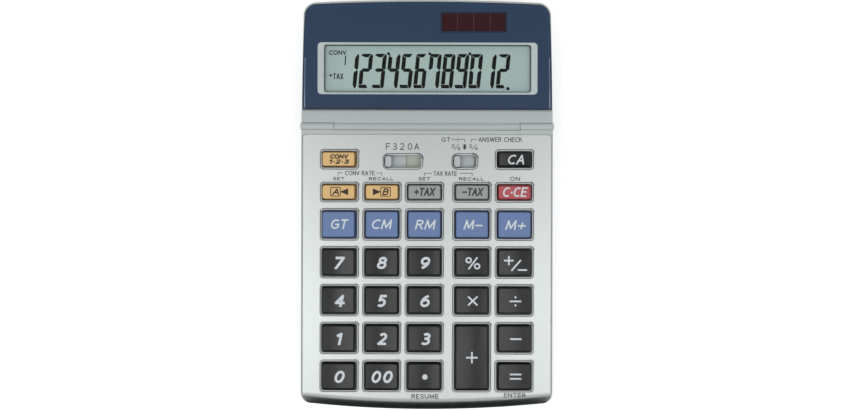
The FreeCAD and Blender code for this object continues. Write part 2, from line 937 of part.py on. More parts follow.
def cover_outline_block(z0, z1):
    """Cover with gently bulging sides, a bowed far edge and round far corners."""
    near = strip_depth + cover_gap
    middle = (near + cover_far) / 2
    bow = cover_bow_radius
    shoulder = cover_far - (bow - math.sqrt(bow ** 2 - cover_far_half ** 2))
    points = {}
    for side in (-1, 1):
        points[side] = (
            Vector(side * cover_near_half, near, z0),
            Vector(side * cover_middle_half, middle, z0),
            Vector(side * cover_far_half, shoulder, z0),
        )
    left = points[-1]
    right = points[1]
    edges = [
        Part.Arc(left[0], left[1], left[2]).toShape(),
        Part.Arc(left[2], Vector(0, cover_far, z0), right[2]).toShape(),
        Part.Arc(right[2], right[1], right[0]).toShape(),
        Part.LineSegment(right[0], left[0]).toShape(),
    ]
    block = Part.Face(Part.Wire(edges)).extrude(Vector(0, 0, z1 - z0))
    corners = upright_edges(block, -cover_far_half, shoulder)
    corners = corners + upright_edges(block, cover_far_half, shoulder)
    return block.makeFillet(cover_corner_radius, corners)


def bezel_prism(grow, z0, z1):
    return soft_prism(
        bezel_x, bezel_y, bezel_width + 2 * grow, bezel_depth + 2 * grow, bezel_corner, 3, z0, z1
    )


def display_stack():
    """Levels of the window's seat, the glass, the board's top and the board's underside."""
    seat = -window_seat
    glass_top = -cover_inner_depth - glass_clearance
    board_top = glass_top - glass_thickness - zebra_height
    return seat, glass_top, board_top, board_top - board_thickness


def solar_prism(grow, z0, z1):
    width = solar_width + 2 * grow
    depth = solar_depth + 2 * grow
    x0 = solar_x - width / 2
    y0 = solar_y - depth / 2
    return box(x0, x0 + width, y0, y0 + depth, z0, z1)


def front_cover():
    near = strip_depth + cover_gap
    plate = cover_outline_block(-rim_step, cover_rise)
    for bevel in (cover_bevel, cover_edge):
        edges = edges_level_with(plate, cover_rise)
        edges = [e for e in edges if e.CenterOfMass.y > near + 0.1]
        plate = plate.makeChamfer(bevel, edges)
    tray = head_block(head_wall + cover_inner_clearance, near + 0.4, -cover_inner_depth, 0)
    reach = clear_of_all
    cover = plate.fuse(tray.cut(box(-reach, reach, -reach, reach, -rim_step + 0.1, reach)))
    for x in (-hook_x, hook_x):
        x0 = x - hook_width / 2
        x1 = x + hook_width / 2
        low = -head_wall - 0.1 - hook_thickness
        tip = near - hook_reach
        cover = cover.fuse(box(x0, x1, near + 0.4, near + 2, low, -cover_inner_depth + 0.1))
        cover = cover.fuse(box(x0, x1, tip, near + 2, low, low + hook_thickness))
    seat = display_stack()[0]
    cover = cover.cut(bezel_prism(bezel_clearance, seat, 5))
    ledge = soft_prism(
        bezel_x, bezel_y, window_width + 2 * window_ledge, window_depth + window_ledge,
        window_corner, 2, -cover_inner_depth - 1, 5,
    )
    cover = cover.cut(ledge)
    cover = cover.cut(solar_prism(0, -5, 5))
    cover = cover.cut(solar_prism(solar_lap + 0.1, -5, cover_rise - solar_recess))
    for peg in head_bosses(head_boss_radius, -head_boss_top, -cover_inner_depth + 0.1):
        cover = cover.fuse(peg)
    pilot = screw_shaft_radius + screw_clearance
    for hole in head_bosses(pilot, -head_boss_top - 1, -cover_inner_depth - 0.2):
        cover = cover.cut(hole)
    return cover.removeSplitter()


def display_bezel():
    seat = display_stack()[0]
    low = seat + window_thickness
    top = cover_rise + bezel_rise
    frame = bezel_prism(0, low, top)
    throat = soft_prism(
        bezel_x, bezel_y, window_width, window_depth, window_corner, 3, low - 1, top + 1
    )
    wide = 2 * bezel_bevel
    flare = tapered_prism(
        soft_points(
            bezel_x, bezel_y, top - bezel_bevel, window_width, window_depth, window_corner, 3
        ),
        soft_points(
            bezel_x, bezel_y, top, window_width + wide, window_depth + wide,
            window_corner + bezel_bevel, 3,
        ),
    )
    return frame.cut(throat).cut(flare).removeSplitter()


def display_window():
    seat = display_stack()[0]
    return bezel_prism(0, seat, seat + window_thickness)


def display_glass():
    top = display_stack()[1]
    x0 = bezel_x - glass_width / 2
    y0 = bezel_y - glass_depth / 2
    return box(x0, x0 + glass_width, y0, y0 + glass_depth, top - glass_thickness, top)


def contact_strips():
    """Elastomer strips that join the display glass to its board."""
    top = display_stack()[1] - glass_thickness
    x0 = bezel_x - display_board_width / 2 + zebra_inset
    x1 = bezel_x + display_board_width / 2 - zebra_inset
    strips = []
    for side in (-1, 1):
        outer = bezel_y + side * (glass_depth / 2 - zebra_inset)
        inner = outer - side * zebra_width
        strips.append(box(x0, x1, min(outer, inner), max(outer, inner), top - zebra_height, top))
    return Part.makeCompound(strips)


def display_board():
    seat, glass_top, top, low = display_stack()
    x0 = bezel_x - display_board_width / 2
    y0 = bezel_y - display_board_depth / 2
    return box(x0, x0 + display_board_width, y0, y0 + display_board_depth, low, top)


def solar_cell():
    top = cover_rise - solar_recess
    return solar_prism(solar_lap, top - solar_thickness, top)


# Every node in the desk frame, centred over the origin
nodes = {
    "lower_case": lower_case(),
    "top_case": stand(top_case()),
    "faceplate": stand(faceplate()),
    "key_mat": stand(key_mat()),
    "main_board": stand(main_board()),
    "controller_chip": stand(controller_chip()),
    "board_parts": stand(board_parts()),
    "switch_board": stand(switch_board()),
    "decimal_knob": stand(slide_knob(decimal_slot_centre, decimal_slot_width)),
    "rounding_knob": stand(slide_knob(rounding_slot_centre, rounding_slot_width)),
    "case_screws": case_screws(),
    "hinge_pins": stand(hinge_pins()),
    "rubber_feet": rubber_feet(),
    "battery_cell": battery_cell(),
    "battery_contacts": battery_contacts(),
    "battery_door": battery_door(),
    "battery_screw": battery_screw(),
    "head_shell": stand(head_shell()),
    "front_cover": stand(front_cover()),
    "display_bezel": stand(display_bezel()),
    "display_window": stand(display_window()),
    "display_glass": stand(display_glass()),
    "contact_strips": stand(contact_strips()),
    "display_board": stand(display_board()),
    "solar_cell": stand(solar_cell()),
    "head_screws": stand(head_screws()),
}
for name, column, y, depth in key_plan:
    nodes[name] = stand(key_cap(column, y, depth))

bounds = Part.makeCompound(list(nodes.values())).BoundBox
centre_y = (bounds.YMin + bounds.YMax) / 2
for name, shape in nodes.items():
    shape.translate(Vector(0, -centre_y, 0))
    shape.exportStep("parts/" + name + ".step")

print("nodes", len(nodes))
print("size", round(bounds.XLength, 2), round(bounds.YLength, 2), round(bounds.ZLength, 2))
print("hinge axis y", round(hinge_depth * math.sin(math.radians(case_slope)) - centre_y, 3))
print("hinge axis z", round(rear_height - hinge_depth * math.cos(math.radians(case_slope)), 3))
print("decimal travel", decimal_slot_width - grip_width - 2 * grip_end_gap)
print("rounding travel", rounding_slot_width - grip_width - 2 * grip_end_gap)
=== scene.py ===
# %% [markdown]
# # A slim desktop calculator with a tilting display
#
# The real object is a wedge-shaped keyboard with thirty-one dished keys, two slide switches and a
# display head on a hinge. Its solids come ready made from a CAD frame. They could be modelled
# again here, but then the fits and joints would have to be proved again, so this lesson keeps
# them and adds what they lack: finishes, printing, the figures of the display, the crosses of the
# screws, and a small photographic set.

import json
import math

import bpy
from mathutils import Matrix, Vector
from mathutils.bvhtree import BVHTree


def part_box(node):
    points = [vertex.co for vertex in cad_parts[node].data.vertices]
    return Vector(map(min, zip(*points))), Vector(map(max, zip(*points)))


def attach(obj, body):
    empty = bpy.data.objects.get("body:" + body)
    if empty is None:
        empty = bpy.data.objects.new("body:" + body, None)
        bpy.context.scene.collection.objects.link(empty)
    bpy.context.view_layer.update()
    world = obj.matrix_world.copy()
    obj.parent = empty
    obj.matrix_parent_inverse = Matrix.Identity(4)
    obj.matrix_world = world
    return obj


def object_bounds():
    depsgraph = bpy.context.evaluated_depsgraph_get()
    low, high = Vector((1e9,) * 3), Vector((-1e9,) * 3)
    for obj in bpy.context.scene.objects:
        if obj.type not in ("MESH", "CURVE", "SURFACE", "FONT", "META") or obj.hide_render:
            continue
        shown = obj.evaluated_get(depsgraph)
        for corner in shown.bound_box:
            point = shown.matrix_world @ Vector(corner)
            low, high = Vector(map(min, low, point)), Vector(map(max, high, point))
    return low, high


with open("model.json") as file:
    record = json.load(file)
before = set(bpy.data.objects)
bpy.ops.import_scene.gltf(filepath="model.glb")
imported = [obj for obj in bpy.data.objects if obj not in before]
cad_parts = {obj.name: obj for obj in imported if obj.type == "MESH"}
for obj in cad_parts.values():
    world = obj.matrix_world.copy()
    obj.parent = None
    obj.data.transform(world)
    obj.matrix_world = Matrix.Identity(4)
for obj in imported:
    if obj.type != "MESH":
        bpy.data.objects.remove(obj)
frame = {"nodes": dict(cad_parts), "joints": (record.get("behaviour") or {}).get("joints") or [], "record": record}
cad_low, cad_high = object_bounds()

# %% [markdown]
# ## A ruler that lies on the keyboard
#
# The keyboard slopes a few degrees, and everything printed on it follows that slope. Working in
# room coordinates would drag a sine and a cosine through every step. Instead the slope is read
# once from the axis in which a key travels, and places are given on the keyboard itself:
# across to the right, along towards the display, and up out of the face, in millimetres.

# %% Directions and origin of the keyboard face
MILLIMETRE = 0.001
joints = {joint["name"]: joint for joint in frame["joints"]}
face_up = Vector(joints["key_five_press"]["axis"])
face_across = Vector((1, 0, 0))
face_along = Vector((0, face_up.z, -face_up.y))
hinge_below_face = 1.72
hinge_point = Vector(joints["head_tilt"]["pos_m"])
face_origin = hinge_point + hinge_below_face * MILLIMETRE * face_up


def on_face(across, along, up):
    place = across * face_across + along * face_along + up * face_up
    return face_origin + place * MILLIMETRE


def face_limits(node):
    """Least and greatest place of a node, across and then along the keyboard."""
    offsets = [vertex.co - face_origin for vertex in frame["nodes"][node].data.vertices]
    limits = []
    for direction in (face_across, face_along):
        places = [offset.dot(direction) / MILLIMETRE for offset in offsets]
        limits.append((min(places), max(places)))
    return limits


def face_centre(node):
    return tuple((least + most) / 2 for least, most in face_limits(node))


print("slope in degrees", round(math.degrees(math.asin(-face_up.y)), 2))

# %% [markdown]
# ## Pad printing
#
# Ink lies on a surface as a skin a few hundredths of a millimetre thick. A texture image could
# hold it, but it would blur close up. Here each letter is a mesh: its points are dropped onto the
# solid that carries it, so the ink follows the dish of a key or the roll of the plate. A search
# tree answers quickly where a straight line meets that solid.

# %% Drop points onto a solid
drop_from = 12
surfaces = {}


def surface(node):
    if node not in surfaces:
        mesh = frame["nodes"][node].data
        corners = [vertex.co for vertex in mesh.vertices]
        surfaces[node] = BVHTree.FromPolygons(corners, [face.vertices for face in mesh.polygons])
    return surfaces[node]


def lie_on(node, across, along, lift):
    """The point of a node under a place on the keyboard, lifted by a hair.

    Without a node it is a point of the plane that the keyboard's face lies in.
    """
    if node is None:
        return on_face(across, along, lift)
    start = on_face(across, along, drop_from)
    hit = surface(node).ray_cast(start, -face_up)[0]
    return hit + lift * MILLIMETRE * face_up


key_middle = face_centre("key_five")
dish = (lie_on("key_five", *key_middle, 0) - face_origin).dot(face_up) / MILLIMETRE
print("middle of key five stands", round(dish, 2), "mm above the face")

# %% [markdown]
# A piece of print is then a mesh object like any other. It could be drawn with the edit tools,
# but a list of points and faces is exact and comes out the same each time. Every piece rides on
# a body by name, so that a legend goes down with its key.

# %% Make a mesh object and let it ride on a body


def new_object(name, points, faces, finish):
    mesh = bpy.data.meshes.new(name)
    mesh.from_pydata(points, [], faces)
    mesh.materials.append(finish)
    made = bpy.data.objects.new(name, mesh)
    bpy.context.scene.collection.objects.link(made)
    return made


def mesh_piece(name, points, faces, finish, body):
    piece = new_object(name, points, faces, finish)
    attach(piece, body)
    return piece


# %% [markdown]
# ## An alphabet of pen strokes
#
# The legends are plain upright or slanted capitals with round ends, as if drawn with a pen of one
# width. A font would bring its own weight and its own forms. Here each letter is only the path of
# the pen, in a box one unit high, made of straight runs and arcs of ellipses. The same letter then
# serves for bold figures and for the finest printing.

# %% Paths of the letters
arc_step = 15
fewest_steps = 3


def arc(centre_x, centre_y, radius_x, radius_y, start, end):
    """Points on part of an ellipse, with angles in degrees."""
    steps = max(fewest_steps, round(abs(end - start) / arc_step))
    points = []
    for i in range(steps + 1):
        angle = math.radians(start + (end - start) * i / steps)
        x = centre_x + radius_x * math.cos(angle)
        points.append((x, centre_y + radius_y * math.sin(angle)))
    return points


letters = {
    "0": (0.60, [arc(0.3, 0.5, 0.3, 0.5, 90, 450)]),
    "1": (0.30, [[(0, 0.82), (0.28, 1), (0.28, 0)]]),
    "2": (0.58, [arc(0.28, 0.72, 0.27, 0.28, 155, -35) + [(0, 0), (0.58, 0)]]),
    "3": (0.58, [
        arc(0.27, 0.765, 0.26, 0.235, 145, -90) + [(0.17, 0.53)],
        [(0.27, 0.53)] + arc(0.26, 0.265, 0.32, 0.265, 90, -145),
    ]),
    "4": (0.66, [[(0.46, 0), (0.46, 1), (0, 0.28), (0.66, 0.28)]]),
    "5": (0.58, [[(0.54, 1), (0.12, 1), (0.07, 0.56)] + arc(0.25, 0.32, 0.32, 0.32, 112, -140)]),
    "6": (0.60, [
        arc(0.62, 0.3, 0.62, 0.7, 102, 180) + arc(0.3, 0.3, 0.3, 0.3, 180, 540),
    ]),
    "7": (0.60, [[(0, 1), (0.6, 1), (0.16, 0)]]),
    "8": (0.60, [arc(0.3, 0.77, 0.25, 0.23, 90, 450), arc(0.3, 0.27, 0.3, 0.27, 90, 450)]),
    "9": (0.60, [
        arc(-0.02, 0.7, 0.62, 0.7, -78, 0) + arc(0.3, 0.7, 0.3, 0.3, 0, 360),
    ]),
    "A": (0.68, [[(0, 0), (0.34, 1), (0.68, 0)], [(0.12, 0.35), (0.56, 0.35)]]),
    "B": (0.56, [
        [(0, 0), (0, 1), (0.28, 1)] + arc(0.28, 0.765, 0.24, 0.235, 90, -90) + [(0, 0.53)],
        [(0.28, 0.53)] + arc(0.3, 0.265, 0.26, 0.265, 90, -90) + [(0, 0)],
    ]),
    "C": (0.66, [arc(0.42, 0.5, 0.42, 0.5, 52, 308)]),
    "E": (0.52, [[(0.5, 1), (0, 1), (0, 0), (0.52, 0)], [(0, 0.53), (0.45, 0.53)]]),
    "F": (0.50, [[(0.5, 1), (0, 1), (0, 0)], [(0, 0.52), (0.44, 0.52)]]),
    "G": (0.74, [arc(0.42, 0.5, 0.42, 0.5, 52, 318) + [(0.74, 0.2), (0.74, 0.47), (0.46, 0.47)]]),
    "H": (0.62, [[(0, 0), (0, 1)], [(0.62, 0), (0.62, 1)], [(0, 0.53), (0.62, 0.53)]]),
    "K": (0.60, [[(0, 0), (0, 1)], [(0.56, 1), (0, 0.4)], [(0.2, 0.6), (0.6, 0)]]),
    "L": (0.48, [[(0, 1), (0, 0), (0.48, 0)]]),
    "M": (0.82, [[(0, 0), (0.07, 1), (0.41, 0.1), (0.75, 1), (0.82, 0)]]),
    "N": (0.64, [[(0, 0), (0, 1), (0.64, 0), (0.64, 1)]]),
    "O": (0.82, [arc(0.41, 0.5, 0.41, 0.5, 90, 450)]),
    "R": (0.58, [
        [(0, 0), (0, 1), (0.28, 1)] + arc(0.28, 0.755, 0.25, 0.245, 90, -90) + [(0, 0.51)],
        [(0.26, 0.51), (0.58, 0)],
    ]),
    "S": (0.56, [
        arc(0.29, 0.755, 0.25, 0.245, 30, 250) + [(0.28, 0.51)]
        + arc(0.27, 0.255, 0.28, 0.255, 70, -155),
    ]),
    "T": (0.62, [[(0, 1), (0.62, 1)], [(0.31, 1), (0.31, 0)]]),
    "U": (0.62, [[(0, 1)] + arc(0.31, 0.31, 0.31, 0.31, 180, 360) + [(0.62, 1)]]),
    "V": (0.66, [[(0, 1), (0.33, 0), (0.66, 1)]]),
    "W": (0.96, [[(0, 1), (0.24, 0), (0.48, 1), (0.72, 0), (0.96, 1)]]),
    "X": (0.64, [[(0, 0), (0.64, 1)], [(0, 1), (0.64, 0)]]),
    "%": (1.10, [
        arc(0.2, 0.78, 0.2, 0.22, 90, 450), arc(0.9, 0.22, 0.2, 0.22, 90, 450),
        [(0.22, 0), (0.88, 1)],
    ]),
    "+": (0.62, [[(0, 0.4), (0.62, 0.4)], [(0.31, 0.09), (0.31, 0.71)]]),
    "-": (0.56, [[(0, 0.4), (0.56, 0.4)]]),
    "=": (1.00, [[(0, 0.3), (1, 0.3)], [(0, 0.7), (1, 0.7)]]),
    "x": (1.00, [[(0, 0), (1, 1)], [(0, 1), (1, 0)]]),
    ":": (1.00, [[(0, 0.5), (1, 0.5)], [(0.5, 0)], [(0.5, 1)]]),
    ".": (0.10, [[(0.05, 0.45)]]),
    "/": (0.50, [[(0, 0), (0.5, 1)]]),
    " ": (0.20, []),
}
print("letters", len(letters))

# %% [markdown]
# Letters in a row need space between them, and a legend has to fill the same box as the real
# one. So a line of text is first laid out in units of its own height, slanted if it is italic,
# and then stretched to the box that is left when the width of the pen is taken off all round.

# %% Lay out a line and fit it to its box
letter_space = 0.3
italic = 0.2


def line_of_text(text, slant=0.0, space=letter_space):
    paths = []
    start = 0.0
    for letter in text:
        width, shape = letters[letter]
        for path in shape:
            paths.append([(start + x + slant * y, y) for x, y in path])
        start += width + space
    return paths


def fitted(paths, width, height, pen, centre=(0, 0)):
    """Paths stretched to a box in millimetres, pen width included."""
    every_x = [x for path in paths for x, y in path]
    every_y = [y for path in paths for x, y in path]
    span_x = max(every_x) - min(every_x)
    span_y = max(every_y) - min(every_y)
    scale_x = (width - pen) / span_x if span_x else 1
    scale_y = (height - pen) / span_y if span_y else 1
    middle_x = (max(every_x) + min(every_x)) / 2
    middle_y = (max(every_y) + min(every_y)) / 2
    return [
        [(centre[0] + (x - middle_x) * scale_x, centre[1] + (y - middle_y) * scale_y)
         for x, y in path]
        for path in paths
    ]


sample_x = [x for path in line_of_text("ENTER") for x, y in path]
print("ENTER is", round(max(sample_x), 2), "times as long as high")

# %% [markdown]
# A pen line becomes a ribbon of faces. Where the path turns sharply the ribbon would fold over
# itself, so the path is cut there, and each run between two cuts is drawn by itself. A long run
# gets points on its way, so that it can follow a curved surface.

# %% Cut pen paths into runs
sharp_turn = math.radians(38)
longest_step = 0.8


def smooth_runs(path):
    """Cut a path wherever it turns sharply."""
    points = [Vector(point) for point in path]
    runs = [[points[0]]]
    for i in range(1, len(points)):
        runs[-1].append(points[i])
        if i + 1 < len(points):
            before = points[i] - points[i - 1]
            after = points[i + 1] - points[i]
            if before.length and after.length and abs(before.angle_signed(after)) > sharp_turn:
                runs.append([points[i]])
    return runs


def with_short_steps(run):
    """Add points so that the ribbon can follow a curved surface."""
    points = [run[0]]
    for nearer, further in zip(run, run[1:]):
        steps = max(1, math.ceil((further - nearer).length / longest_step))
        for i in range(steps):
            points.append(nearer.lerp(further, (i + 1) / steps))
    return points


def sideways(points, i, closed):
    """Across the path at one of its points; a closed path goes on past its end."""
    last = len(points) - 1
    before = points[i - 1] if i else points[last - 1 if closed else 0]
    after = points[i + 1] if i < last else points[1 if closed else last]
    ahead = after - before
    return Vector((-ahead.y, ahead.x)).normalized()


print("the figure 4 has", len(smooth_runs(letters["4"][1][0])), "runs")

# %% [markdown]
# Most printing ends in a half circle, and two such ends on one point make a round corner. The
# bold signs of the keys are cut square instead: their ends slide to the top or bottom line of
# the letter, and a small filler closes the outside of each sharp corner. It comes to a point at
# an open corner and is cut off at a narrow one, where a point would stick out far.

# %% Ends and corners of a stroke
cap_steps = 6
line_tolerance = 0.1
steep_stroke = 0.6
open_corner = 0.75


def round_end(tip, side):
    """Half a circle about the tip, from one edge of the ribbon to the other."""
    outward = Vector((-side.y, side.x))
    angles = [math.pi * i / cap_steps for i in range(cap_steps + 1)]
    return [tip + math.cos(angle) * side + math.sin(angle) * outward for angle in angles]


def cut_square(corner, tip, way, pen, height, straight):
    """Slide one corner of a stroke's end to the letter's top or bottom line, or past the tip."""
    at_line = height and abs(abs(tip.y) - (height - pen) / 2) < line_tolerance
    if at_line and abs(way.y) > steep_stroke:
        return corner + way * ((math.copysign(height / 2, tip.y) - corner.y) / way.y)
    return corner + way * pen / 2 if straight else corner


def corner_filler(run, after, pen, height):
    """What is missing on the outside of a sharp turn between two square-cut runs."""
    turn = run[-1]
    way = (run[-1] - run[-2]).normalized()
    next_way = (after[1] - after[0]).normalized()
    outside = -1 if way.cross(next_way) > 0 else 1
    first = outside * pen / 2 * Vector((-way.y, way.x))
    second = outside * pen / 2 * Vector((-next_way.y, next_way.x))
    openness = 1 + first.dot(second) / (pen / 2) ** 2
    if openness > open_corner:
        between = [turn + (first + second) / openness]
    else:
        reach = pen / 2 * math.tan(first.angle(second) / 4)
        between = [turn + first + way * reach, turn + second - next_way * reach]
    limit = height / 2 if height else math.inf
    ring = [turn, turn + first] + between + [turn + second]
    ring = [Vector((spot.x, max(-limit, min(limit, spot.y)))) for spot in ring]
    return ring, [list(range(len(ring)))]


print("points in a round end", len(round_end(Vector((0, 0)), Vector((0, 1)))))

# %% [markdown]
# The ribbon itself is a row of four-cornered faces, half the pen's width to either side of the
# path. A path of a single point becomes a dot, a little wider than the pen.

# %% Turn a run into a ribbon
dot_points = 20
dot_swell = 1.3
closing_share = 0.25


def ribbon(run, pen, height=None, square=(False, False)):
    """Outline points and faces of one run of the pen; square says which ends are cut."""
    half = pen / 2
    if len(run) == 1:
        angles = [2 * math.pi * i / dot_points for i in range(dot_points)]
        ring = [run[0] + dot_swell * half * Vector((math.cos(a), math.sin(a))) for a in angles]
        return ring, [list(range(dot_points))]
    points = with_short_steps(run)
    closed = (points[0] - points[-1]).length < pen * closing_share
    outline = []
    for i, point in enumerate(points):
        side = half * sideways(points, i, closed)
        outline += [point + side, point - side]
    faces = [[2 * i, 2 * i + 1, 2 * i + 3, 2 * i + 2] for i in range(len(points) - 1)]
    if closed:
        return outline, faces
    if height is None:
        for end, turn in ((0, 1), (len(points) - 1, -1)):
            cap = round_end(points[end], half * turn * sideways(points, end, closed))
            faces.append([len(outline) + i for i in range(len(cap))])
            outline += cap
        return outline, faces
    for end, beside, corners, cut in ((0, 1, (0, 1), square[0]), (-1, -2, (-2, -1), square[1])):
        way = (points[end] - points[beside]).normalized()
        straight = (run[end] - run[beside]).length > pen
        if cut:
            for corner in corners:
                outline[corner] = cut_square(
                    outline[corner], points[end], way, pen, height, straight)
    return outline, faces


stroke = [Vector((0, 0)), Vector((4, 0))]
print("a straight stroke of 4 mm has", len(ribbon(stroke, 1)[1]), "faces")

# %% [markdown]
# A whole legend is one mesh of such shapes, each dropped onto its solid. Every shape lies two
# thousandths of a millimetre above the last, because faces in exactly one plane would flicker
# where they cross. After ten of these layers the count starts again, so that a long legend
# doesn't climb off its surface.

# %% Print a legend
ink_height = 0.015
ink_layer = 0.002
ink_layers = 10


def printed(name, node, body, centre, paths, pen, finish, fills=(), height=None):
    """Ink on a node: pen paths and filled outlines, in millimetres round a centre.

    With a height the strokes are cut square, at the lines of letters that high (0: no lines).
    """
    shapes = [([Vector(corner) for corner in fill], [list(range(len(fill)))]) for fill in fills]
    for path in paths:
        runs = smooth_runs(path)
        last = len(runs) - 1
        for i, run in enumerate(runs):
            shapes.append(ribbon(run, pen, height, (i == 0, i == last)))
            if height is not None and i < last:
                shapes.append(corner_filler(run, runs[i + 1], pen, height))
    points = []
    faces = []
    for layer, (outline, loops) in enumerate(shapes):
        first = len(points)
        lift = ink_height + layer % ink_layers * ink_layer
        points += [lie_on(node, centre[0] + spot.x, centre[1] + spot.y, lift) for spot in outline]
        faces += [[first + corner for corner in loop] for loop in loops]
    return mesh_piece(name, points, faces, finish, body)


print("ink reaches", round(ink_height + (ink_layers - 1) * ink_layer, 3), "mm above its solid")

# %% [markdown]
# ## Small node helpers
#
# A procedural finish is a graph of nodes. Wiring it by hand takes three lines per node, so one
# helper adds a node, sets its options and fills or links its inputs. Another starts a node
# group with named inputs and outputs, so that an effect is wired once and used in many finishes.

# %% Helpers for finishes


def colour(red, green, blue):
    """A colour as a screen shows it, turned into the linear values that the shader needs."""
    linear = []
    for value in (red, green, blue):
        part = value / 255
        linear.append(part / 12.92 if part <= 0.04045 else ((part + 0.055) / 1.055) ** 2.4)
    return (*linear, 1.0)


def shaded(tint, factor):
    return (*[min(1.0, part * factor) for part in tint[:3]], 1.0)


def fill_inputs(tree, node, values):
    """Link each named input to a socket, or set it to a plain value."""
    for name, value in values.items():
        if isinstance(value, bpy.types.NodeSocket):
            tree.links.new(value, node.inputs[name])
        else:
            node.inputs[name].default_value = value


def add_node(tree, kind, inputs=None, **options):
    node = tree.nodes.new(kind)
    for name, value in options.items():
        setattr(node, name, value)
    fill_inputs(tree, node, inputs or {})
    return node


def start_group(name, inputs, outputs):
    group = bpy.data.node_groups.new(name, "ShaderNodeTree")
    for label, value in inputs.items():
        socket = group.interface.new_socket(label, in_out="INPUT", socket_type="NodeSocketFloat")
        socket.default_value = value
    for label, kind in outputs.items():
        group.interface.new_socket(label, in_out="OUTPUT", socket_type=kind)
    return group, add_node(group, "NodeGroupInput"), add_node(group, "NodeGroupOutput")


print("middle grey in linear light", round(colour(128, 128, 128)[0], 3))

# %% [markdown]
# Four small jobs come up again and again: a sum, a change of range, a mix of two colours, and a
# texture laid in the object's own coordinates. The Mix node keeps hidden sockets for numbers and
# vectors, so its colours have the numbers six and seven, and the mixed colour is output two.

# %% Sums, ranges, mixes and patterns
first_colour = 6
second_colour = 7
mixed_colour = 2


def calculate(tree, operation, *values):
    node = add_node(tree, "ShaderNodeMath", dict(enumerate(values)), operation=operation)
    return node.outputs[0]


def spread(tree, value, to_low, to_high, low=0.0, high=1.0):
    """A value that runs from low to high, brought to another range."""
    node = add_node(tree, "ShaderNodeMapRange", {
        "Value": value, "From Min": low, "From Max": high, "To Min": to_low, "To Max": to_high,
    })
    return node.outputs["Result"]


def mix_colour(tree, mask, first, second):
    colours = {0: mask, first_colour: first, second_colour: second}
    return add_node(tree, "ShaderNodeMix", colours, data_type="RGBA").outputs[mixed_colour]


def pattern_in_object(tree, size):
    """Inputs that lay a texture in the object's own coordinates, at a size in metres."""
    where = add_node(tree, "ShaderNodeTexCoord")
    return {"Vector": where.outputs["Object"], "Scale": calculate(tree, "DIVIDE", 1.0, size)}


print("colours of a Mix node", first_colour, "and", second_colour)

# %% [markdown]
# ## Grain of a moulded surface
#
# Moulds are spark-eroded or blasted, and the plastic takes over a fine grain. Displacing the mesh
# would need millions of faces, so a noise feeds the height of a bump instead. The group also
# gives out a speckle, which breaks the colour a little as real pigment does. Its size is in
# metres, read in the object's own coordinates, so the grain stays put when the piece moves.

# %% Node group: moulded grain
FLOAT = "NodeSocketFloat"
NORMAL = "NodeSocketVector"
moulded_grain, grain_in, grain_out = start_group(
    "moulded_grain", {"Grain Size": 0.0003}, {"Height": FLOAT, "Speckle": FLOAT},
)
pattern = pattern_in_object(moulded_grain, grain_in.outputs[0])
grain_noise = add_node(moulded_grain, "ShaderNodeTexNoise", {**pattern, "Detail": 2.0})
speckle_noise = add_node(moulded_grain, "ShaderNodeTexVoronoi", pattern)
speckle_value = add_node(moulded_grain, "ShaderNodeSeparateColor", {
    "Color": speckle_noise.outputs["Color"],
})
fill_inputs(moulded_grain, grain_out, {
    "Height": grain_noise.outputs[0], "Speckle": speckle_value.outputs[0],
})
print("group", moulded_grain.name)

# %% [markdown]
# ## Marks of handling
#
# A calculator is touched all day, and skin polishes and dulls its surface in soft patches. A
# noise of several sizes gives such patches. They only move the roughness and, very slightly, the
# colour, because a mark that shows as a stain would look like dirt.

# %% Node group: handling marks
handling_marks, handling_in, handling_out = start_group(
    "handling_marks", {"Patch Size": 0.02}, {"Polish": FLOAT},
)
patch_noise = add_node(handling_marks, "ShaderNodeTexNoise", {
    **pattern_in_object(handling_marks, handling_in.outputs[0]),
    "Detail": 4.0, "Roughness": 0.6, "Distortion": 0.4,
})
patch_from = 0.34
patch_to = 0.68
patches = spread(handling_marks, patch_noise.outputs[0], 0.0, 1.0, patch_from, patch_to)
fill_inputs(handling_marks, handling_out, {"Polish": patches})
print("group", handling_marks.name)

# %% [markdown]
# ## Edges that catch the light
#
# No moulded edge is perfectly sharp, and a thin line of light along it tells the eye that the piece is solid.
# Bevelling the mesh would change a CAD solid, which this lesson never does. The Bevel node rounds only the shading
# normal. Where that normal leaves the true one there is an edge, and the difference is also a mask for wear and
# for a painted highlight along it.

# %% Node group: edges for wear and painted highlights
wear_and_highlight_edges, edges_in, edges_out = start_group(
    "wear_and_highlight_edges", {"Edge Radius": 0.0002, "Full Bend": 0.86}, {"Edge": FLOAT, "Rounded": NORMAL},
)
rounded = add_node(wear_and_highlight_edges, "ShaderNodeBevel", {"Radius": edges_in.outputs[0]}, samples=6)
geometry = add_node(wear_and_highlight_edges, "ShaderNodeNewGeometry")
agreement = add_node(wear_and_highlight_edges, "ShaderNodeVectorMath", {
    0: rounded.outputs[0], 1: geometry.outputs["Normal"],
}, operation="DOT_PRODUCT")
edge_mask = spread(wear_and_highlight_edges, agreement.outputs["Value"], 0.0, 1.0, 1.0, edges_in.outputs[1])
fill_inputs(wear_and_highlight_edges, edges_out, {"Edge": edge_mask, "Rounded": rounded.outputs[0]})
print("group", wear_and_highlight_edges.name)
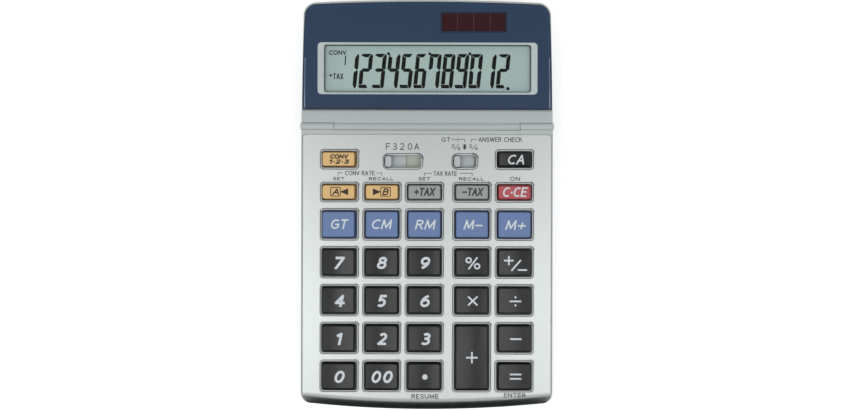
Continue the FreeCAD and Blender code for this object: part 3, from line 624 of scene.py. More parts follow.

# %% [markdown]
# ## Hollows that swallow light
#
# The gap round a key is half a millimetre wide and ten times as deep. A stronger lamp would never show it as dark
# as it is. The Ambient Occlusion node tells how much of the surroundings a spot can see within a short reach,
# whatever the camera does, so a finish can use it as a mask for painted shade in corners and gaps.

# %% Node group: hollows
hollows, hollows_in, hollows_out = start_group(
    "hollows", {"Reach": 0.0012, "Shallow": 0.62}, {"Hollow": FLOAT},
)
openness = add_node(hollows, "ShaderNodeAmbientOcclusion", {
    "Distance": hollows_in.outputs[0],
}, samples=8)
fully_hollow = 0.2
hollow_mask = spread(hollows, openness.outputs["AO"], 0.0, 1.0, hollows_in.outputs[1], fully_hollow)
fill_inputs(hollows, hollows_out, {"Hollow": hollow_mask})
print("group", hollows.name)

# %% [markdown]
# The rim of the cover slopes away all round, and in a bright room it mirrors the dark side of it. A lamp for that
# would change everything else, so a mask reads how far the surface is turned from the face of the head, in the
# object's own directions, and the finish darkens with it: a painted dark reflection.

# %% Node group: steep sides
steep_sides, steep_in, steep_out = start_group(
    "steep_sides", {"Flat": 0.97, "Fully Steep": 0.72}, {"Steep": FLOAT},
)
where = add_node(steep_sides, "ShaderNodeTexCoord")
turn_from_face = add_node(steep_sides, "ShaderNodeVectorMath", {
    0: where.outputs["Normal"], 1: face_up,
}, operation="DOT_PRODUCT")
steep_mask = spread(steep_sides, turn_from_face.outputs["Value"], 0.0, 1.0,
                    steep_in.outputs[0], steep_in.outputs[1])
fill_inputs(steep_sides, steep_out, {"Steep": steep_mask})
print("group", steep_sides.name)

# %% [markdown]
# ## Plastics, rubbers and boards
#
# Most of the parts are moulded, and differ only in colour, gloss and grain. One builder wires the
# groups round a Principled shader and takes those values. Anything that is the same all over
# stays on the shader's own sockets, where an exporter can read it.

# %% Build a moulded finish
# Colour of the painted shade in hollows and gaps.
hollow_shade_tint = colour(12, 13, 16)
dark_speck = 0.93
light_speck = 1.05
touched_share = 0.35
touched_tone = 0.92
touched_size = 0.022
duller = 0.04
glossier = 0.05
dark_reflection_tone = 0.15
edge_share = 0.4


def use_group(tree, group, inputs=None):
    return add_node(tree, "ShaderNodeGroup", inputs, node_tree=group)


def empty_finish(name):
    finish = bpy.data.materials.new(name)
    finish.use_nodes = True
    tree = finish.node_tree
    return finish, tree, tree.nodes["Principled BSDF"]


def laid_over(tree, body, mask, share, tint):
    """A tint over a colour; where the mask is full, it covers this share of it."""
    return mix_colour(tree, spread(tree, mask, 0.0, share), body, tint)


def bent_normal(tree, grain_node, edges, depth):
    """The rounded normal of the edges, with a grain so many millimetres high on it."""
    bump = add_node(tree, "ShaderNodeBump", {
        "Distance": depth * MILLIMETRE, "Height": grain_node.outputs["Height"],
        "Normal": edges.outputs["Rounded"],
    })
    return bump.outputs[0]


def moulded_finish(name, tint, roughness, grain=0.3, depth=0.004, edge=0.2, gloss=0.5, wear_and_highlight=1.35,
                   full_bend=0.86, hollow_shade=0.0, hollow_shade_reach=1.2, hollow_shade_start=0.62, steep=0.0):
    """Grain, edge and reach in millimetres; depth is the height of the grain.

    Edges brighten by a factor, as wear and a painted highlight; painted shade darkens hollows and a painted dark
    reflection darkens steep sides, each by a share.
    """
    finish, tree, shader = empty_finish(name)
    grain_node = use_group(tree, moulded_grain, {"Grain Size": grain * MILLIMETRE})
    polish = use_group(tree, handling_marks, {"Patch Size": touched_size}).outputs["Polish"]
    edges = use_group(tree, wear_and_highlight_edges, {
        "Edge Radius": edge * MILLIMETRE, "Full Bend": full_bend,
    })
    body = mix_colour(
        tree, grain_node.outputs["Speckle"], shaded(tint, dark_speck), shaded(tint, light_speck))
    body = laid_over(tree, body, polish, touched_share, shaded(tint, touched_tone))
    # Painted dark reflection: steep sides darken towards a dark tone.
    if steep:
        turned = use_group(tree, steep_sides).outputs["Steep"]
        body = laid_over(tree, body, turned, steep, shaded(tint, dark_reflection_tone))
    # Painted highlight and wear: the colour brightens along the edge mask.
    body = laid_over(tree, body, edges.outputs["Edge"], edge_share, shaded(tint, wear_and_highlight))
    # Painted shade: the colour darkens where the occlusion mask finds a hollow or gap.
    if hollow_shade:
        corners = use_group(tree, hollows, {
            "Reach": hollow_shade_reach * MILLIMETRE, "Shallow": hollow_shade_start,
        })
        body = laid_over(tree, body, corners.outputs["Hollow"], hollow_shade, hollow_shade_tint)
    fill_inputs(tree, shader, {
        "Base Color": body,
        "Roughness": spread(tree, polish, roughness + duller, roughness - glossier),
        "Normal": bent_normal(tree, grain_node, edges, depth),
        "Specular IOR Level": gloss,
    })
    return finish


print("groups to wire", len(bpy.data.node_groups))

# %% [markdown]
# The values below are those of the real parts: pale grey for the case, slate blue for the cover
# of the head, five colours of key. The keys are satin and the black ones shine more, so a soft
# sheen lies on their dishes, while rubber and the lower case are dull.

# %% Moulded finishes
# Each slot has a name, a tint, a roughness, the size and height of its grain in millimetres, and
# whatever else differs from the plain case.
# On keys, rims, knobs and cover the occlusion mask paints shade into gaps and corners; their pale edges are
# painted highlight and wear, and the cover's steep sides a painted dark reflection.
mouldings = {
    "lower_plastic": ("case_grey_plastic", (146, 150, 153), 0.55, 0.5, 0.012, {}),
    "rim_plastic": (
        "rim_grey_plastic", (172, 178, 178), 0.38, 0.2, 0.002,
        {"hollow_shade": 0.4, "hollow_shade_reach": 0.45, "hollow_shade_start": 0.5}),
    "mat_rubber": ("grey_mat_rubber", (178, 178, 170), 0.75, 0.4, 0.01, {}),
    "board_laminate": ("board_brown_laminate", (158, 128, 78), 0.6, 0.6, 0.01, {}),
    "switch_laminate": ("switch_board_green", (172, 179, 166), 0.5, 0.5, 0.004, {}),
    "part_black": ("black_part_resin", (38, 38, 40), 0.5, 0.3, 0.006, {}),
    "knob_plastic": (
        "knob_silver_plastic", (170, 176, 178), 0.32, 0.2, 0.002,
        {"hollow_shade": 0.5, "hollow_shade_reach": 2.5, "hollow_shade_start": 0.8}),
    "pin_plastic": ("pin_grey_plastic", (186, 190, 190), 0.4, 0.25, 0.003, {}),
    "foot_rubber": ("black_foot_rubber", (44, 44, 44), 0.8, 0.5, 0.02, {}),
    "door_plastic": ("door_grey_plastic", (146, 150, 153), 0.55, 0.5, 0.012, {}),
    "head_plastic": ("head_grey_plastic", (168, 174, 174), 0.4, 0.2, 0.002, {}),
    "cover_plastic": (
        "slate_blue_cover", (33, 54, 79), 0.33, 0.18, 0.002,
        {"edge": 0.3, "gloss": 0.2, "wear_and_highlight": 7.0, "full_bend": 0.97, "hollow_shade": 0.8,
         "hollow_shade_reach": 0.7, "steep": 0.7}),
    "bezel_plastic": ("bezel_pale_plastic", (176, 186, 186), 0.3, 0.2, 0.001, {}),
    "strip_rubber": ("zebra_strip_rubber", (186, 120, 120), 0.7, 0.2, 0.004, {}),
    "display_grey": (
        "display_reflector", (168, 190, 185), 0.5, 0.12, 0.0005, {"edge": 0.05, "gloss": 0.3}),
    "cap_black": (
        "black_key_plastic", (10, 11, 12), 0.19, 0.16, 0.003,
        {"edge": 0.25, "gloss": 0.31, "wear_and_highlight": 2.0, "hollow_shade": 1.0}),
}
key_colours = {
    "grey": (140, 146, 142), "blue": (86, 111, 156), "red": (164, 62, 68),
    "orange": (208, 171, 112),
}
for name, tint in key_colours.items():
    mouldings["cap_" + name] = (name + "_key_plastic", tint, 0.42, 0.16, 0.003, {"hollow_shade": 0.9})
finishes = {}
for slot, (name, tint, roughness, grain, depth, more) in mouldings.items():
    finishes[slot] = moulded_finish(name, colour(*tint), roughness, grain, depth, **more)
print("moulded finishes", len(finishes))

# %% [markdown]
# ## Anodised plate and plated metal
#
# The plate is thin aluminium, blasted and anodised to a pale silver. It is a metal, so its colour
# comes from what it mirrors, softened by a roughness of about a third. A very fine speckle in
# colour and roughness stands for the blasted grain. Screws, the cell and its springs are plated,
# and share the builder with a coarser grain.

# %% Metal finishes
metal_touched_size = 0.03
metal_edge = 0.15
low_grain = 0.3
high_grain = 0.7
grain_roughness = 0.02
metal_duller = 0.01
metal_glossier = 0.015


def metal_finish(name, tint, roughness, grain, depth, contrast):
    """Grain and depth in millimetres; contrast is how far the speckle leaves the tint."""
    finish, tree, shader = empty_finish(name)
    grain_node = use_group(tree, moulded_grain, {"Grain Size": grain * MILLIMETRE})
    marks = use_group(tree, handling_marks, {"Patch Size": metal_touched_size})
    edges = use_group(tree, wear_and_highlight_edges, {"Edge Radius": metal_edge * MILLIMETRE})
    grain_rough = spread(tree, grain_node.outputs["Height"], roughness - grain_roughness,
                         roughness + grain_roughness, low_grain, high_grain)
    polish = spread(tree, marks.outputs["Polish"], metal_duller, -metal_glossier)
    fill_inputs(tree, shader, {
        "Base Color": mix_colour(
            tree, grain_node.outputs["Speckle"], shaded(tint, 1 - contrast),
            shaded(tint, 1 + contrast / 2)),
        "Roughness": calculate(tree, "ADD", grain_rough, polish),
        "Normal": bent_normal(tree, grain_node, edges, depth),
        "Metallic": 1.0,
    })
    return finish


# Each slot has a name, a tint, a roughness, the size and height of its grain, and its contrast.
metals = {
    "face_metal": ("blasted_silver_plate", (158, 162, 161), 0.3, 0.22, 0.0006, 0.02),
    "screw_steel": ("zinc_screw_steel", (190, 190, 192), 0.3, 0.3, 0.002, 0.1),
    "cell_steel": ("nickel_cell_steel", (214, 212, 206), 0.25, 0.4, 0.001, 0.04),
    "contact_brass": ("plated_contact_brass", (214, 198, 150), 0.3, 0.3, 0.001, 0.06),
}
for slot, (name, tint, *values) in metals.items():
    finishes[slot] = metal_finish(name, colour(*tint), *values)
print("metal finishes", len(metals))

# %% [markdown]
# ## The window of the display
#
# The window is a clear pane. Real refraction would keep the lamps from reaching the display
# behind it, so the pane is almost fully transparent and keeps only its gloss and a faint haze.
# The liquid crystal behind it is one of the finishes above, a grey green with a fine grain from
# its reflector foil.

# %% Window
finish, tree, shader = empty_finish("clear_window")
polish = use_group(tree, handling_marks, {"Patch Size": 0.015}).outputs["Polish"]
fill_inputs(tree, shader, {
    "Base Color": mix_colour(tree, polish, colour(64, 70, 69), colour(70, 76, 75)),
    "Roughness": spread(tree, polish, 0.03, 0.07),
    "Alpha": spread(tree, polish, 0.03, 0.045),
})
finishes["window_clear"] = finish
print("window", finish.name)

# %% [markdown]
# ## The solar cell
#
# Four strips of dark silicon sit side by side under one glass, with thin paler lines between
# them. The lines come from the place across the cell, repeated four times, so no mesh is needed.

# %% Solar cell


def speckled(tree, grain, first, second):
    """A colour that wavers between two tints; the grain is in metres."""
    grain_node = use_group(tree, moulded_grain, {"Grain Size": grain})
    return mix_colour(tree, grain_node.outputs["Speckle"], first, second)


cell_low, cell_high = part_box("solar_cell")
cell_middle = (cell_low.x + cell_high.x) / 2
visible_cell_width = 0.0277
strip_count = 4
line_share = 0.016
finish, tree, shader = empty_finish("solar_silicon")
where = add_node(tree, "ShaderNodeTexCoord")
place = add_node(tree, "ShaderNodeSeparateXYZ", {0: where.outputs["Object"]})
strip = spread(tree, place.outputs[0], 0.0, strip_count, cell_middle - visible_cell_width / 2,
               cell_middle + visible_cell_width / 2)
from_middle = calculate(tree, "SUBTRACT", calculate(tree, "FRACT", strip), 0.5)
line = calculate(tree, "GREATER_THAN", calculate(tree, "ABSOLUTE", from_middle), 0.5 - line_share)
silicon = speckled(tree, 0.0004, colour(45, 13, 20), colour(52, 17, 25))
polish = use_group(tree, handling_marks, {"Patch Size": 0.01}).outputs["Polish"]
fill_inputs(tree, shader, {
    "Base Color": mix_colour(tree, line, silicon, colour(84, 52, 58)),
    "Roughness": spread(tree, polish, 0.1, 0.18),
    "Specular IOR Level": 0.12,
})
finishes["solar_glass"] = finish
print("width of the solar cell", round(cell_high.x - cell_low.x, 4))

# %% [markdown]
# The record says which material slot each solid has, so the finishes are handed out by that name.

# %% Put the finishes on the solids
for part in frame["record"]["subparts"]:
    for slot in frame["nodes"][part["node"]].material_slots:
        slot.material = finishes[part["material_slot"]]

# %% [markdown]
# ## Inks
#
# Pad printing lays down a thin, slightly uneven film. Inks are needed in white for the dark keys,
# brown black for the orange ones, dark grey for the grey ones and for the plate, and the black of
# a switched-on segment. One small builder gives them a faint mottle, and later the narrow seams
# are drawn with the same film.

# %% Inks
film_grain = 0.0004
film_patch = 0.006
thin_film = 0.95
thick_film = 1.03
film_change = 0.05


def ink(name, tint, roughness=0.5, gloss=0.2):
    finish, tree, shader = empty_finish(name)
    polish = use_group(tree, handling_marks, {"Patch Size": film_patch}).outputs["Polish"]
    fill_inputs(tree, shader, {
        "Base Color": speckled(
            tree, film_grain, shaded(tint, thin_film), shaded(tint, thick_film)),
        "Roughness": spread(tree, polish, roughness + film_change, roughness - film_change),
        "Specular IOR Level": gloss,
    })
    return finish


white_ink = ink("white_ink", colour(199, 206, 212))
dark_ink = ink("brown_black_ink", colour(52, 44, 38))
slate_ink = ink("slate_ink", colour(58, 64, 70))
panel_ink = ink("panel_grey_ink", colour(52, 56, 60))
segment_black = ink("segment_black", colour(18, 19, 21), 0.6, 0.05)
print("inks", 5)

# %% [markdown]
# ## Legends on the keys
#
# Each key carries its sign a little off the middle of its cap, as the real printing does. The
# tables give the sign, its shift from the middle of the cap and the box that it fills, in
# millimetres. Figures are bold, the memory keys lighter.

# %% Legends of one line
bold_pen = 1.05
medium_pen = 0.64
sign_pen = 0.68
figure_height = 5.15
figure_space = 0.42
figures_shift = -0.19
# Figures: text, shift across, width.
figures = {
    "key_seven": ("7", 0.43, 4.1), "key_eight": ("8", 0.15, 4.26), "key_nine": ("9", 0.48, 4.1),
    "key_four": ("4", 0.32, 4.15), "key_five": ("5", 0.14, 4.1), "key_six": ("6", 0.4, 4.14),
    "key_one": ("1", 0.36, 2.4), "key_two": ("2", 0.33, 4.15), "key_three": ("3", 0.62, 4.19),
    "key_zero": ("0", 0.35, 4.28), "key_double_zero": ("00", 0.34, 8.93),
}
memory_height = 4.05
# Memory keys: text, shift across and along, width.
memory_keys = {
    "key_total": ("GT", 0.28, 0.11, 7.35), "key_memory_clear": ("CM", 0.11, 0.11, 8.44),
    "key_memory_recall": ("RM", 0.41, 0.0, 8.69), "key_memory_minus": ("M-", 0.43, 0.0, 7.93),
    "key_memory_plus": ("M+", 0.42, -0.1, 8.68), "key_all_clear": ("CA", 0.54, -0.06, 6.75),
    "key_clear": ("C.CE", 0.25, 0.1, 10.32),
}
# Signs: text, shift across and along, width, height.
signs = {
    "key_percent": ("%", 0.43, -0.25, 6.26, 5.17), "key_multiply": ("x", 0.4, -0.1, 4.1, 3.9),
    "key_divide": (":", 0.44, -0.25, 4.85, 4.1), "key_minus": ("-", 0.6, -0.15, 4.75, 0.9),
    "key_equals": ("=", 0.55, 0.04, 4.85, 2.5), "key_plus": ("+", 0.1, 0.0, 4.85, 4.77),
}


def key_legend(key, shift, paths, pen, finish, fills=(), height=None, part="_legend"):
    across, along = face_centre(key)
    centre = (across + shift[0], along + shift[1])
    return printed(key + part, key, key + "_body", centre, paths, pen, finish, fills, height)


for key, (text, across, width) in figures.items():
    paths = fitted(line_of_text(text, italic, figure_space), width, figure_height, bold_pen)
    key_legend(key, (across, figures_shift), paths, bold_pen, white_ink, height=figure_height)
for key, (text, across, along, width) in memory_keys.items():
    paths = fitted(line_of_text(text, italic), width, memory_height, medium_pen)
    key_legend(key, (across, along), paths, medium_pen, white_ink, height=memory_height)
for key, (text, across, along, width, height) in signs.items():
    paths = fitted(line_of_text(text), width, height, sign_pen)
    key_legend(key, (across, along), paths, sign_pen, white_ink, height=0)
dot_radius = 1.15
key_legend("key_point", (0.37, -0.19), [[(0, 0)]], 2 * dot_radius / dot_swell, white_ink)
print("single legends", len(figures) + len(memory_keys) + len(signs) + 1)

# %% [markdown]
# Other keys carry more than one line or sign: the plus, slash and minus of the change of sign,
# the two lines of the conversion key, and a sign beside a word on the tax keys. Each is put
# together from smaller fitted lines.

# %% Legends of several lines


def composed(lines, pen):
    """Several lines in one legend: the paths, width, height and middle of each."""
    paths = []
    for line, width, height, middle in lines:
        paths += fitted(line, width, height, pen, middle)
    return paths


sign_change = composed([
    (line_of_text("+"), 4.1, 3.9, (-2.8, 1.2)),
    (line_of_text("/"), 4.2, 4.7, (0.27, -0.82)),
    (line_of_text("-"), 3.9, sign_pen, (2.9, -2.75)),
], sign_pen)
key_legend("key_sign", (0.41, -0.3), sign_change, sign_pen, white_ink, height=0)

small_bold_pen = 0.5
conversion = composed([
    (line_of_text("CONV", italic), 7.8, 1.9, (0, 1.09)),
    (line_of_text("1.2.3", italic, 0.36), 8.2, 1.95, (0, -1.06)),
], small_bold_pen)
key_legend("key_convert", (0.0, 0.0), conversion, small_bold_pen, dark_ink)

tax_pen = 0.68
tax_height = 3.4
for key, sign, sign_height, shift in (
        ("key_tax_plus", "+", 2.1, 0.15), ("key_tax_minus", "-", tax_pen, 0.31)):
    legend = composed([
        (line_of_text(sign), 2.1, sign_height, (-3.45, -0.15)),
        (line_of_text("TAX", italic), 6.6, tax_height, (1.2, 0.0)),
    ], tax_pen)
    key_legend(key, (shift, 0.18), legend, tax_pen, slate_ink, height=tax_height)
print("composed legends", 4)

# %% [markdown]
# The two rate keys carry a letter in a box, and beside it a filled arrowhead that points at the
# box. The box is a pen path too, and it runs on over its first corner, so that its two ends
# don't show.

# %% Letters in arrowed boxes
box_pen = 0.34
box_width = 4.4
box_height = 4.0
box_corner = 0.3
arrow_length = 3.15
arrow_height = 2.9
arrow_lap = 0.35
letter_pen = 0.55
letter_size = 2.85


def rounded_box(width, height, corner, centre):
    half_x = width / 2 - corner
    half_y = height / 2 - corner
    path = []
    for turn, x, y in ((0, half_x, half_y), (90, -half_x, half_y), (180, -half_x, -half_y),
                       (270, half_x, -half_y), (360, half_x, half_y)):
        path += arc(centre[0] + x, centre[1] + y, corner, corner, turn, turn + 90)
    return [path]


for key, letter, side, shift in (("key_rate_a", "A", -1, 0.01), ("key_rate_b", "B", 1, 0.0)):
    middle = (side * arrow_length / 2, 0)
    letter_paths = fitted(
        line_of_text(letter, italic), letter_size, letter_size, letter_pen, middle)
    key_legend(key, (shift, 0.09), letter_paths, letter_pen, dark_ink, height=letter_size,
               part="_letter")
    box = rounded_box(box_width - box_pen, box_height - box_pen, box_corner, middle)
    edge = middle[0] - side * box_width / 2
    base = edge - side * arrow_length
    arrow = [(edge + side * arrow_lap, 0), (base, arrow_height / 2), (base, -arrow_height / 2)]
    if side > 0:
        arrow.reverse()
    key_legend(key, (shift, 0.09), box, box_pen, dark_ink, [arrow])
print("legends with an arrow", 2)

# %% [markdown]
# ## Words on the plate
#
# The plate carries the scale of the decimal switch, the marks of the rounding switch and short
# words for second functions, all in one thin grey. They are listed with their middle and their
# box. The brackets that tie a heading to two words are short pen paths.

# %% Words and brackets on the plate
scale_pen = 0.36
word_pen = 0.3
fine_pen = 0.25
# Text, middle across and along, width, height, pen.
plate_words = [
    ("F", -16.48, -8.43, 1.85, 2.91, scale_pen), ("3", -13.51, -8.43, 1.7, 2.91, scale_pen),
    ("2", -10.45, -8.43, 1.85, 2.91, scale_pen), ("0", -7.21, -8.43, 1.85, 2.91, scale_pen),
    ("A", -4.36, -8.43, 2.15, 2.91, scale_pen),
    ("CONV RATE", -28.26, -19.68, 12.6, 1.98, word_pen),
    ("TAX RATE", 7.67, -19.81, 9.86, 1.9, word_pen),
    ("SET", -37.15, -22.06, 4.85, 1.43, word_pen), ("SET", -1.14, -22.06, 4.89, 1.43, word_pen),
    ("RECALL", -19.26, -22.06, 10.37, 1.43, word_pen),
    ("RECALL", 18.77, -22.06, 10.49, 1.43, word_pen),
    ("ON", 37.06, -21.98, 4.26, 1.85, word_pen), ("GT", 7.96, -5.5, 3.71, 1.94, word_pen),
    ("ANSWER CHECK", 30.87, -5.44, 18.42, 2.07, word_pen),
    ("RESUME", -0.6, -113.72, 11.5, 1.98, scale_pen),
    ("ENTER", 37.2, -113.15, 9.23, 1.9, scale_pen),
]
brackets = [
    [(-37.42, -20.67), (-37.42, -19.57), (-35.57, -19.57)],
    [(-21.2, -19.57), (-19.17, -19.57), (-19.17, -20.67)],
    [(-1.1, -20.75), (-1.1, -19.65), (2.11, -19.65)],
    [(13.86, -19.65), (19.05, -19.65), (19.05, -20.75)],
    [(10.32, -5.33), (15.97, -5.33), (15.97, -6.47)],
    [(12.98, -5.33), (12.98, -6.47)],
    [(21.11, -5.33), (18.71, -5.33), (18.71, -6.47)],
]
for number, (text, across, along, width, height, pen) in enumerate(plate_words):
    paths = fitted(line_of_text(text), width, height, pen)
    printed("plate_word_%02d" % number, "faceplate", "base", (across, along), paths, pen, panel_ink)
printed("plate_brackets", "faceplate", "base", (0, 0), brackets, fine_pen, panel_ink)
print("plate words", len(plate_words), "brackets", len(brackets))

# %% [markdown]
# Above the rounding switch stand two small marks, each with a figure on either side of a slash,
# and a solid arrow between them. The arrow has no pen path and is a filled outline alone.

# %% Marks of the rounding switch
rounding_places = ((12.26, -8.66), (19.6, -8.66))
rounding_mark = composed([
    (line_of_text("5"), 1.2, 1.5, (-1.24, 0.42)),
    (line_of_text("/"), 2.1, 2.45, (0.18, 0.07)),
    (line_of_text("4"), 1.35, 1.5, (1.16, -0.54)),
], fine_pen)
for number, centre in enumerate(rounding_places):
    printed("rounding_mark_%d" % number, "faceplate", "base", centre, rounding_mark, fine_pen,
            panel_ink)
arrow_centre = (15.87, -8.64)
down_arrow = [(-0.55, 1.2), (-0.55, -0.1), (-0.85, -0.1), (0.0, -1.2), (0.85, -0.1),
              (0.55, -0.1), (0.55, 1.2)]
printed("rounding_arrow", "faceplate", "base", arrow_centre, [], fine_pen, panel_ink, [down_arrow])
print("marks of the rounding switch", len(rounding_places) + 1)

# %% [markdown]
# ## Figures of the display
#
# A liquid crystal figure is seven bars with mitred ends and a hair of space between them. Each
# bar is a filled outline in an upright cell, in millimetres from the cell's lower left corner.
# The four upright bars end in the same blunt point at the waist of the cell.

# %% Bars of a seven-segment figure
cell_width = 5.02
cell_height = 14.51
cell_waist = 7.63
upright_bar = 1.67
level_bar = 1.48
bar_space = 0.15
waist_tip = 0.6
outer_cut = 0.35
flat_from = 0.25
flat_to = 0.7
inner_cut = 0.9


def waist_end(outer, inner, waist, up):
    """Blunt point of an upright bar, from its outer edge to its inner one."""
    inward = 1 if inner > outer else -1
    return [(outer, waist + up * outer_cut), (outer + inward * flat_from, waist),
            (outer + inward * flat_to, waist), (inner, waist + up * inner_cut)]


def segment_outlines():
    """The seven bars; a and d keep the left corners of the cell, b and c the right ones."""
    wide = cell_width
    top = cell_height
    left = upright_bar
    right = wide - upright_bar
    above = cell_waist + bar_space
    below = cell_waist - bar_space
    half = level_bar / 2
    tip = waist_tip
    return {
        "a": [(0, top - 0.65), (0.6, top), (wide - 0.8, top), (right - bar_space, top - level_bar),
              (left, top - level_bar)],
        "b": [(right, top - 1.75), (wide - 0.75, top - 0.2), (wide - 0.4, top - 0.2),
              (wide, top - 0.9), *waist_end(wide, right, above, 1)],
        "c": [*waist_end(wide, right, below, -1)[::-1],
              (wide, 0.95), (wide - 0.4, 0), (wide - 0.95, 0), (right, 1.6)],
        "d": [(0, level_bar), (0.05, 0.8), (0.5, 0), (wide - 1.1, 0),
              (right - bar_space, level_bar)],
        "e": [(0, level_bar + bar_space), (left, level_bar + bar_space),
              *waist_end(0, left, below, -1)[::-1]],
        "f": [(0, top - 0.65 - bar_space), (left, top - level_bar - bar_space),
              *waist_end(0, left, above, 1)[::-1]],
        "g": [(tip, cell_waist), (tip + half, cell_waist - half),
              (wide - tip - half, cell_waist - half), (wide - tip, cell_waist),
              (wide - tip - half, cell_waist + half), (tip + half, cell_waist + half)],
    }


segments = segment_outlines()
print("bars in a cell", len(segments))

# %% [markdown]
# The bars of the real display are etched, so their corners are a little soft, and each figure
# leans to the right. A short curve replaces every corner, and then the upright cell is leaned
# over. A table says which bars each figure lights.

# %% Figures that are lit
cell_pitch = 5.8085
cell_lean = 0.098
bar_corner = 0.2
corner_steps = (0.0, 0.33, 0.67, 1.0)
first_cell = -35.04
cell_foot = 16.24
shown = "123456789012"
lit_bars = {
    "0": "abcdef", "1": "bc", "2": "abged", "3": "abgcd", "4": "fgbc", "5": "afgcd",
    "6": "afgedc", "7": "abcf", "8": "abcdefg", "9": "abcdfg",
}


def soft_corners(outline, cut):
    """The outline with a short curve in place of every corner."""
    rounded_outline = []
    for i, corner in enumerate(outline):
        here = Vector(corner)
        to_last = Vector(outline[i - 1]) - here
        to_next = Vector(outline[(i + 1) % len(outline)]) - here
        start = here + to_last.normalized() * min(cut, to_last.length / 2)
        end = here + to_next.normalized() * min(cut, to_next.length / 2)
        for t in corner_steps:
            rounded_outline.append(start.lerp(here, t).lerp(here.lerp(end, t), t))
    return rounded_outline


def leaned(outline, start):
    return [(start + x + cell_lean * y, y) for x, y in soft_corners(outline, bar_corner)]


fills = []
for place, figure in enumerate(shown):
    for bar in lit_bars[figure]:
        fills.append(leaned(segments[bar], place * cell_pitch))
printed("display_figures", "display_glass", "head", (first_cell, cell_foot), [], fine_pen,
        segment_black, fills)
print("segments lit", len(fills))

# %% [markdown]
# Between groups of three figures stands a raised comma, a disc with a short tail, and the last
# figure is followed by a point. Small words at the left of the display say which mode is on.

# %% Commas, point and small words
comma_places = ((-16.4, 30.86), (1.03, 30.84), (18.02, 30.86))
comma_radius = 0.62
comma_tail = [(1.0, -1.3), (0.75, -0.3)]
angles = [math.radians(angle) for angle in range(10, 281, 30)]
comma = [(comma_radius * math.cos(a), comma_radius * math.sin(a)) for a in angles] + comma_tail
fills = [[(x + across, y + along) for x, y in comma] for across, along in comma_places]
printed("display_commas", "display_glass", "head", (0, 0), [], fine_pen, segment_black, fills)
point_place = (34.1, 16.15)
point_radius = 0.72
printed("display_point", "display_glass", "head", point_place, [[(0, 0)]],
        2 * point_radius / dot_swell, segment_black)
mode_pen = 0.38
mode_words = composed([
    (line_of_text("CONV"), 7.33, 1.98, (-37.8, 31.23)),
    (line_of_text("+"), 1.5, 1.4, (-40.75, 21.6)),
    (line_of_text("TAX"), 4.42, 2.5, (-37.61, 21.22)),
], mode_pen)
printed("display_modes", "display_glass", "head", (0, 0), mode_words, mode_pen, segment_black)
mode_figure_pen = 0.48
mode_figure = [[(-34.75, 26.1), (-34.6, 27.65)], [(-34.55, 28.1), (-34.4, 29.65)]]
printed("display_mode_figure", "display_glass", "head", (0, 0), mode_figure, mode_figure_pen,
        segment_black, height=0)
print("commas", len(comma_places), "strokes of the mode figure", len(mode_figure))

# %% [markdown]
# ## Seams
#
# A dark line shows round the display, where the edge of the glass meets the frame, and round the
# solar cell. The real lines are shadows in slits finer than the clearances of the solids, so
# they are drawn with the same pen as the legends.

# %% Seams of the head
solar_middle = (19.55, 43.9)
solar_black = ink("solar_seam_black", colour(16, 10, 16))
# Node, width, height, corner and middle of the box, pen, ink.
head_seams = {
    "display_seam": (
        "display_glass", (87.1, 20.0, 1.0, (0.15, 24.4)), 0.7,
        ink("display_seam_green", colour(70, 84, 82))),
    "solar_seam": ("solar_cell", (27.1, 7.8, 0.3, solar_middle), 0.7, solar_black),
    "solar_edge": ("front_cover", (27.6, 8.3, 0.25, solar_middle), 0.34, solar_black),
}
for name, (node, box, pen, finish) in head_seams.items():
    printed(name, node, "head", (0, 0), rounded_box(*box), pen, finish)
print("seams of the head", len(head_seams))

# %% [markdown]
# The plate meets the case in a dark line on three sides, open where the plate rolls over the front: painted shade
# in the gap between them. Just outside it a second line darkens the edge of the case, painted shade where the wall
# turns away from the light. Both follow the outline: straight sides, and a bend into the front.

# %% Painted shade along the seam of the plate and the edges of the case
bend_centre = 48
bend_angle = 40
seam_rear = -3.1
seam_front = -111.9
seam_side = 52.55
seam_corner = 1.7
seam_pen = 0.42
case_side = 52.66
case_edge_pen = 0.5
seam_shade_grey = ink("plate_seam_grey", colour(84, 90, 93))
edge_shade_grey = ink("case_edge_grey", colour(72, 77, 80))


def front_bends(half_width):
    """The left bend, drawn away from the front, and the right bend, drawn towards it."""
    radius = half_width - bend_centre
    left = arc(-bend_centre, seam_front, radius, radius, 180 + bend_angle, 180)
    right = arc(bend_centre, seam_front, radius, radius, 0, -bend_angle)
    return left, right


left_front, right_front = front_bends(seam_side)
corner_x = seam_side - seam_corner
corner_y = seam_rear - seam_corner
plate_seam = left_front + arc(-corner_x, corner_y, seam_corner, seam_corner, 180, 90)
plate_seam += arc(corner_x, corner_y, seam_corner, seam_corner, 90, 0) + right_front
# Painted shade in the gap between the plate and the case.
printed("plate_seam", "top_case", "base", (0, 0), [plate_seam], seam_pen, seam_shade_grey)
# Painted shade on the edges of the case, where the walls turn from the light.
left_edge, right_edge = front_bends(case_side)
case_edge_shades = [left_edge + [(-case_side, seam_rear)], [(case_side, seam_rear)] + right_edge]
printed("case_edge_shades", "top_case", "base", (0, 0), case_edge_shades, case_edge_pen, edge_shade_grey)
print("points along the seam of the plate", len(plate_seam))

# %% [markdown]
# The blue cover is bent down at its sides and at its foot. A pale line up each side is a painted highlight, where
# the bend mirrors the lamps, and a dark line along the foot is painted shade.

# %% Painted gleams and shade of the cover
gleam_pen = 0.38
gleam_foot = (51.65, 8.0)
gleam_top = (51.35, 28.5)
gleam = [[(side * across, along) for across, along in (gleam_foot, gleam_top)]
         for side in (-1, 1)]
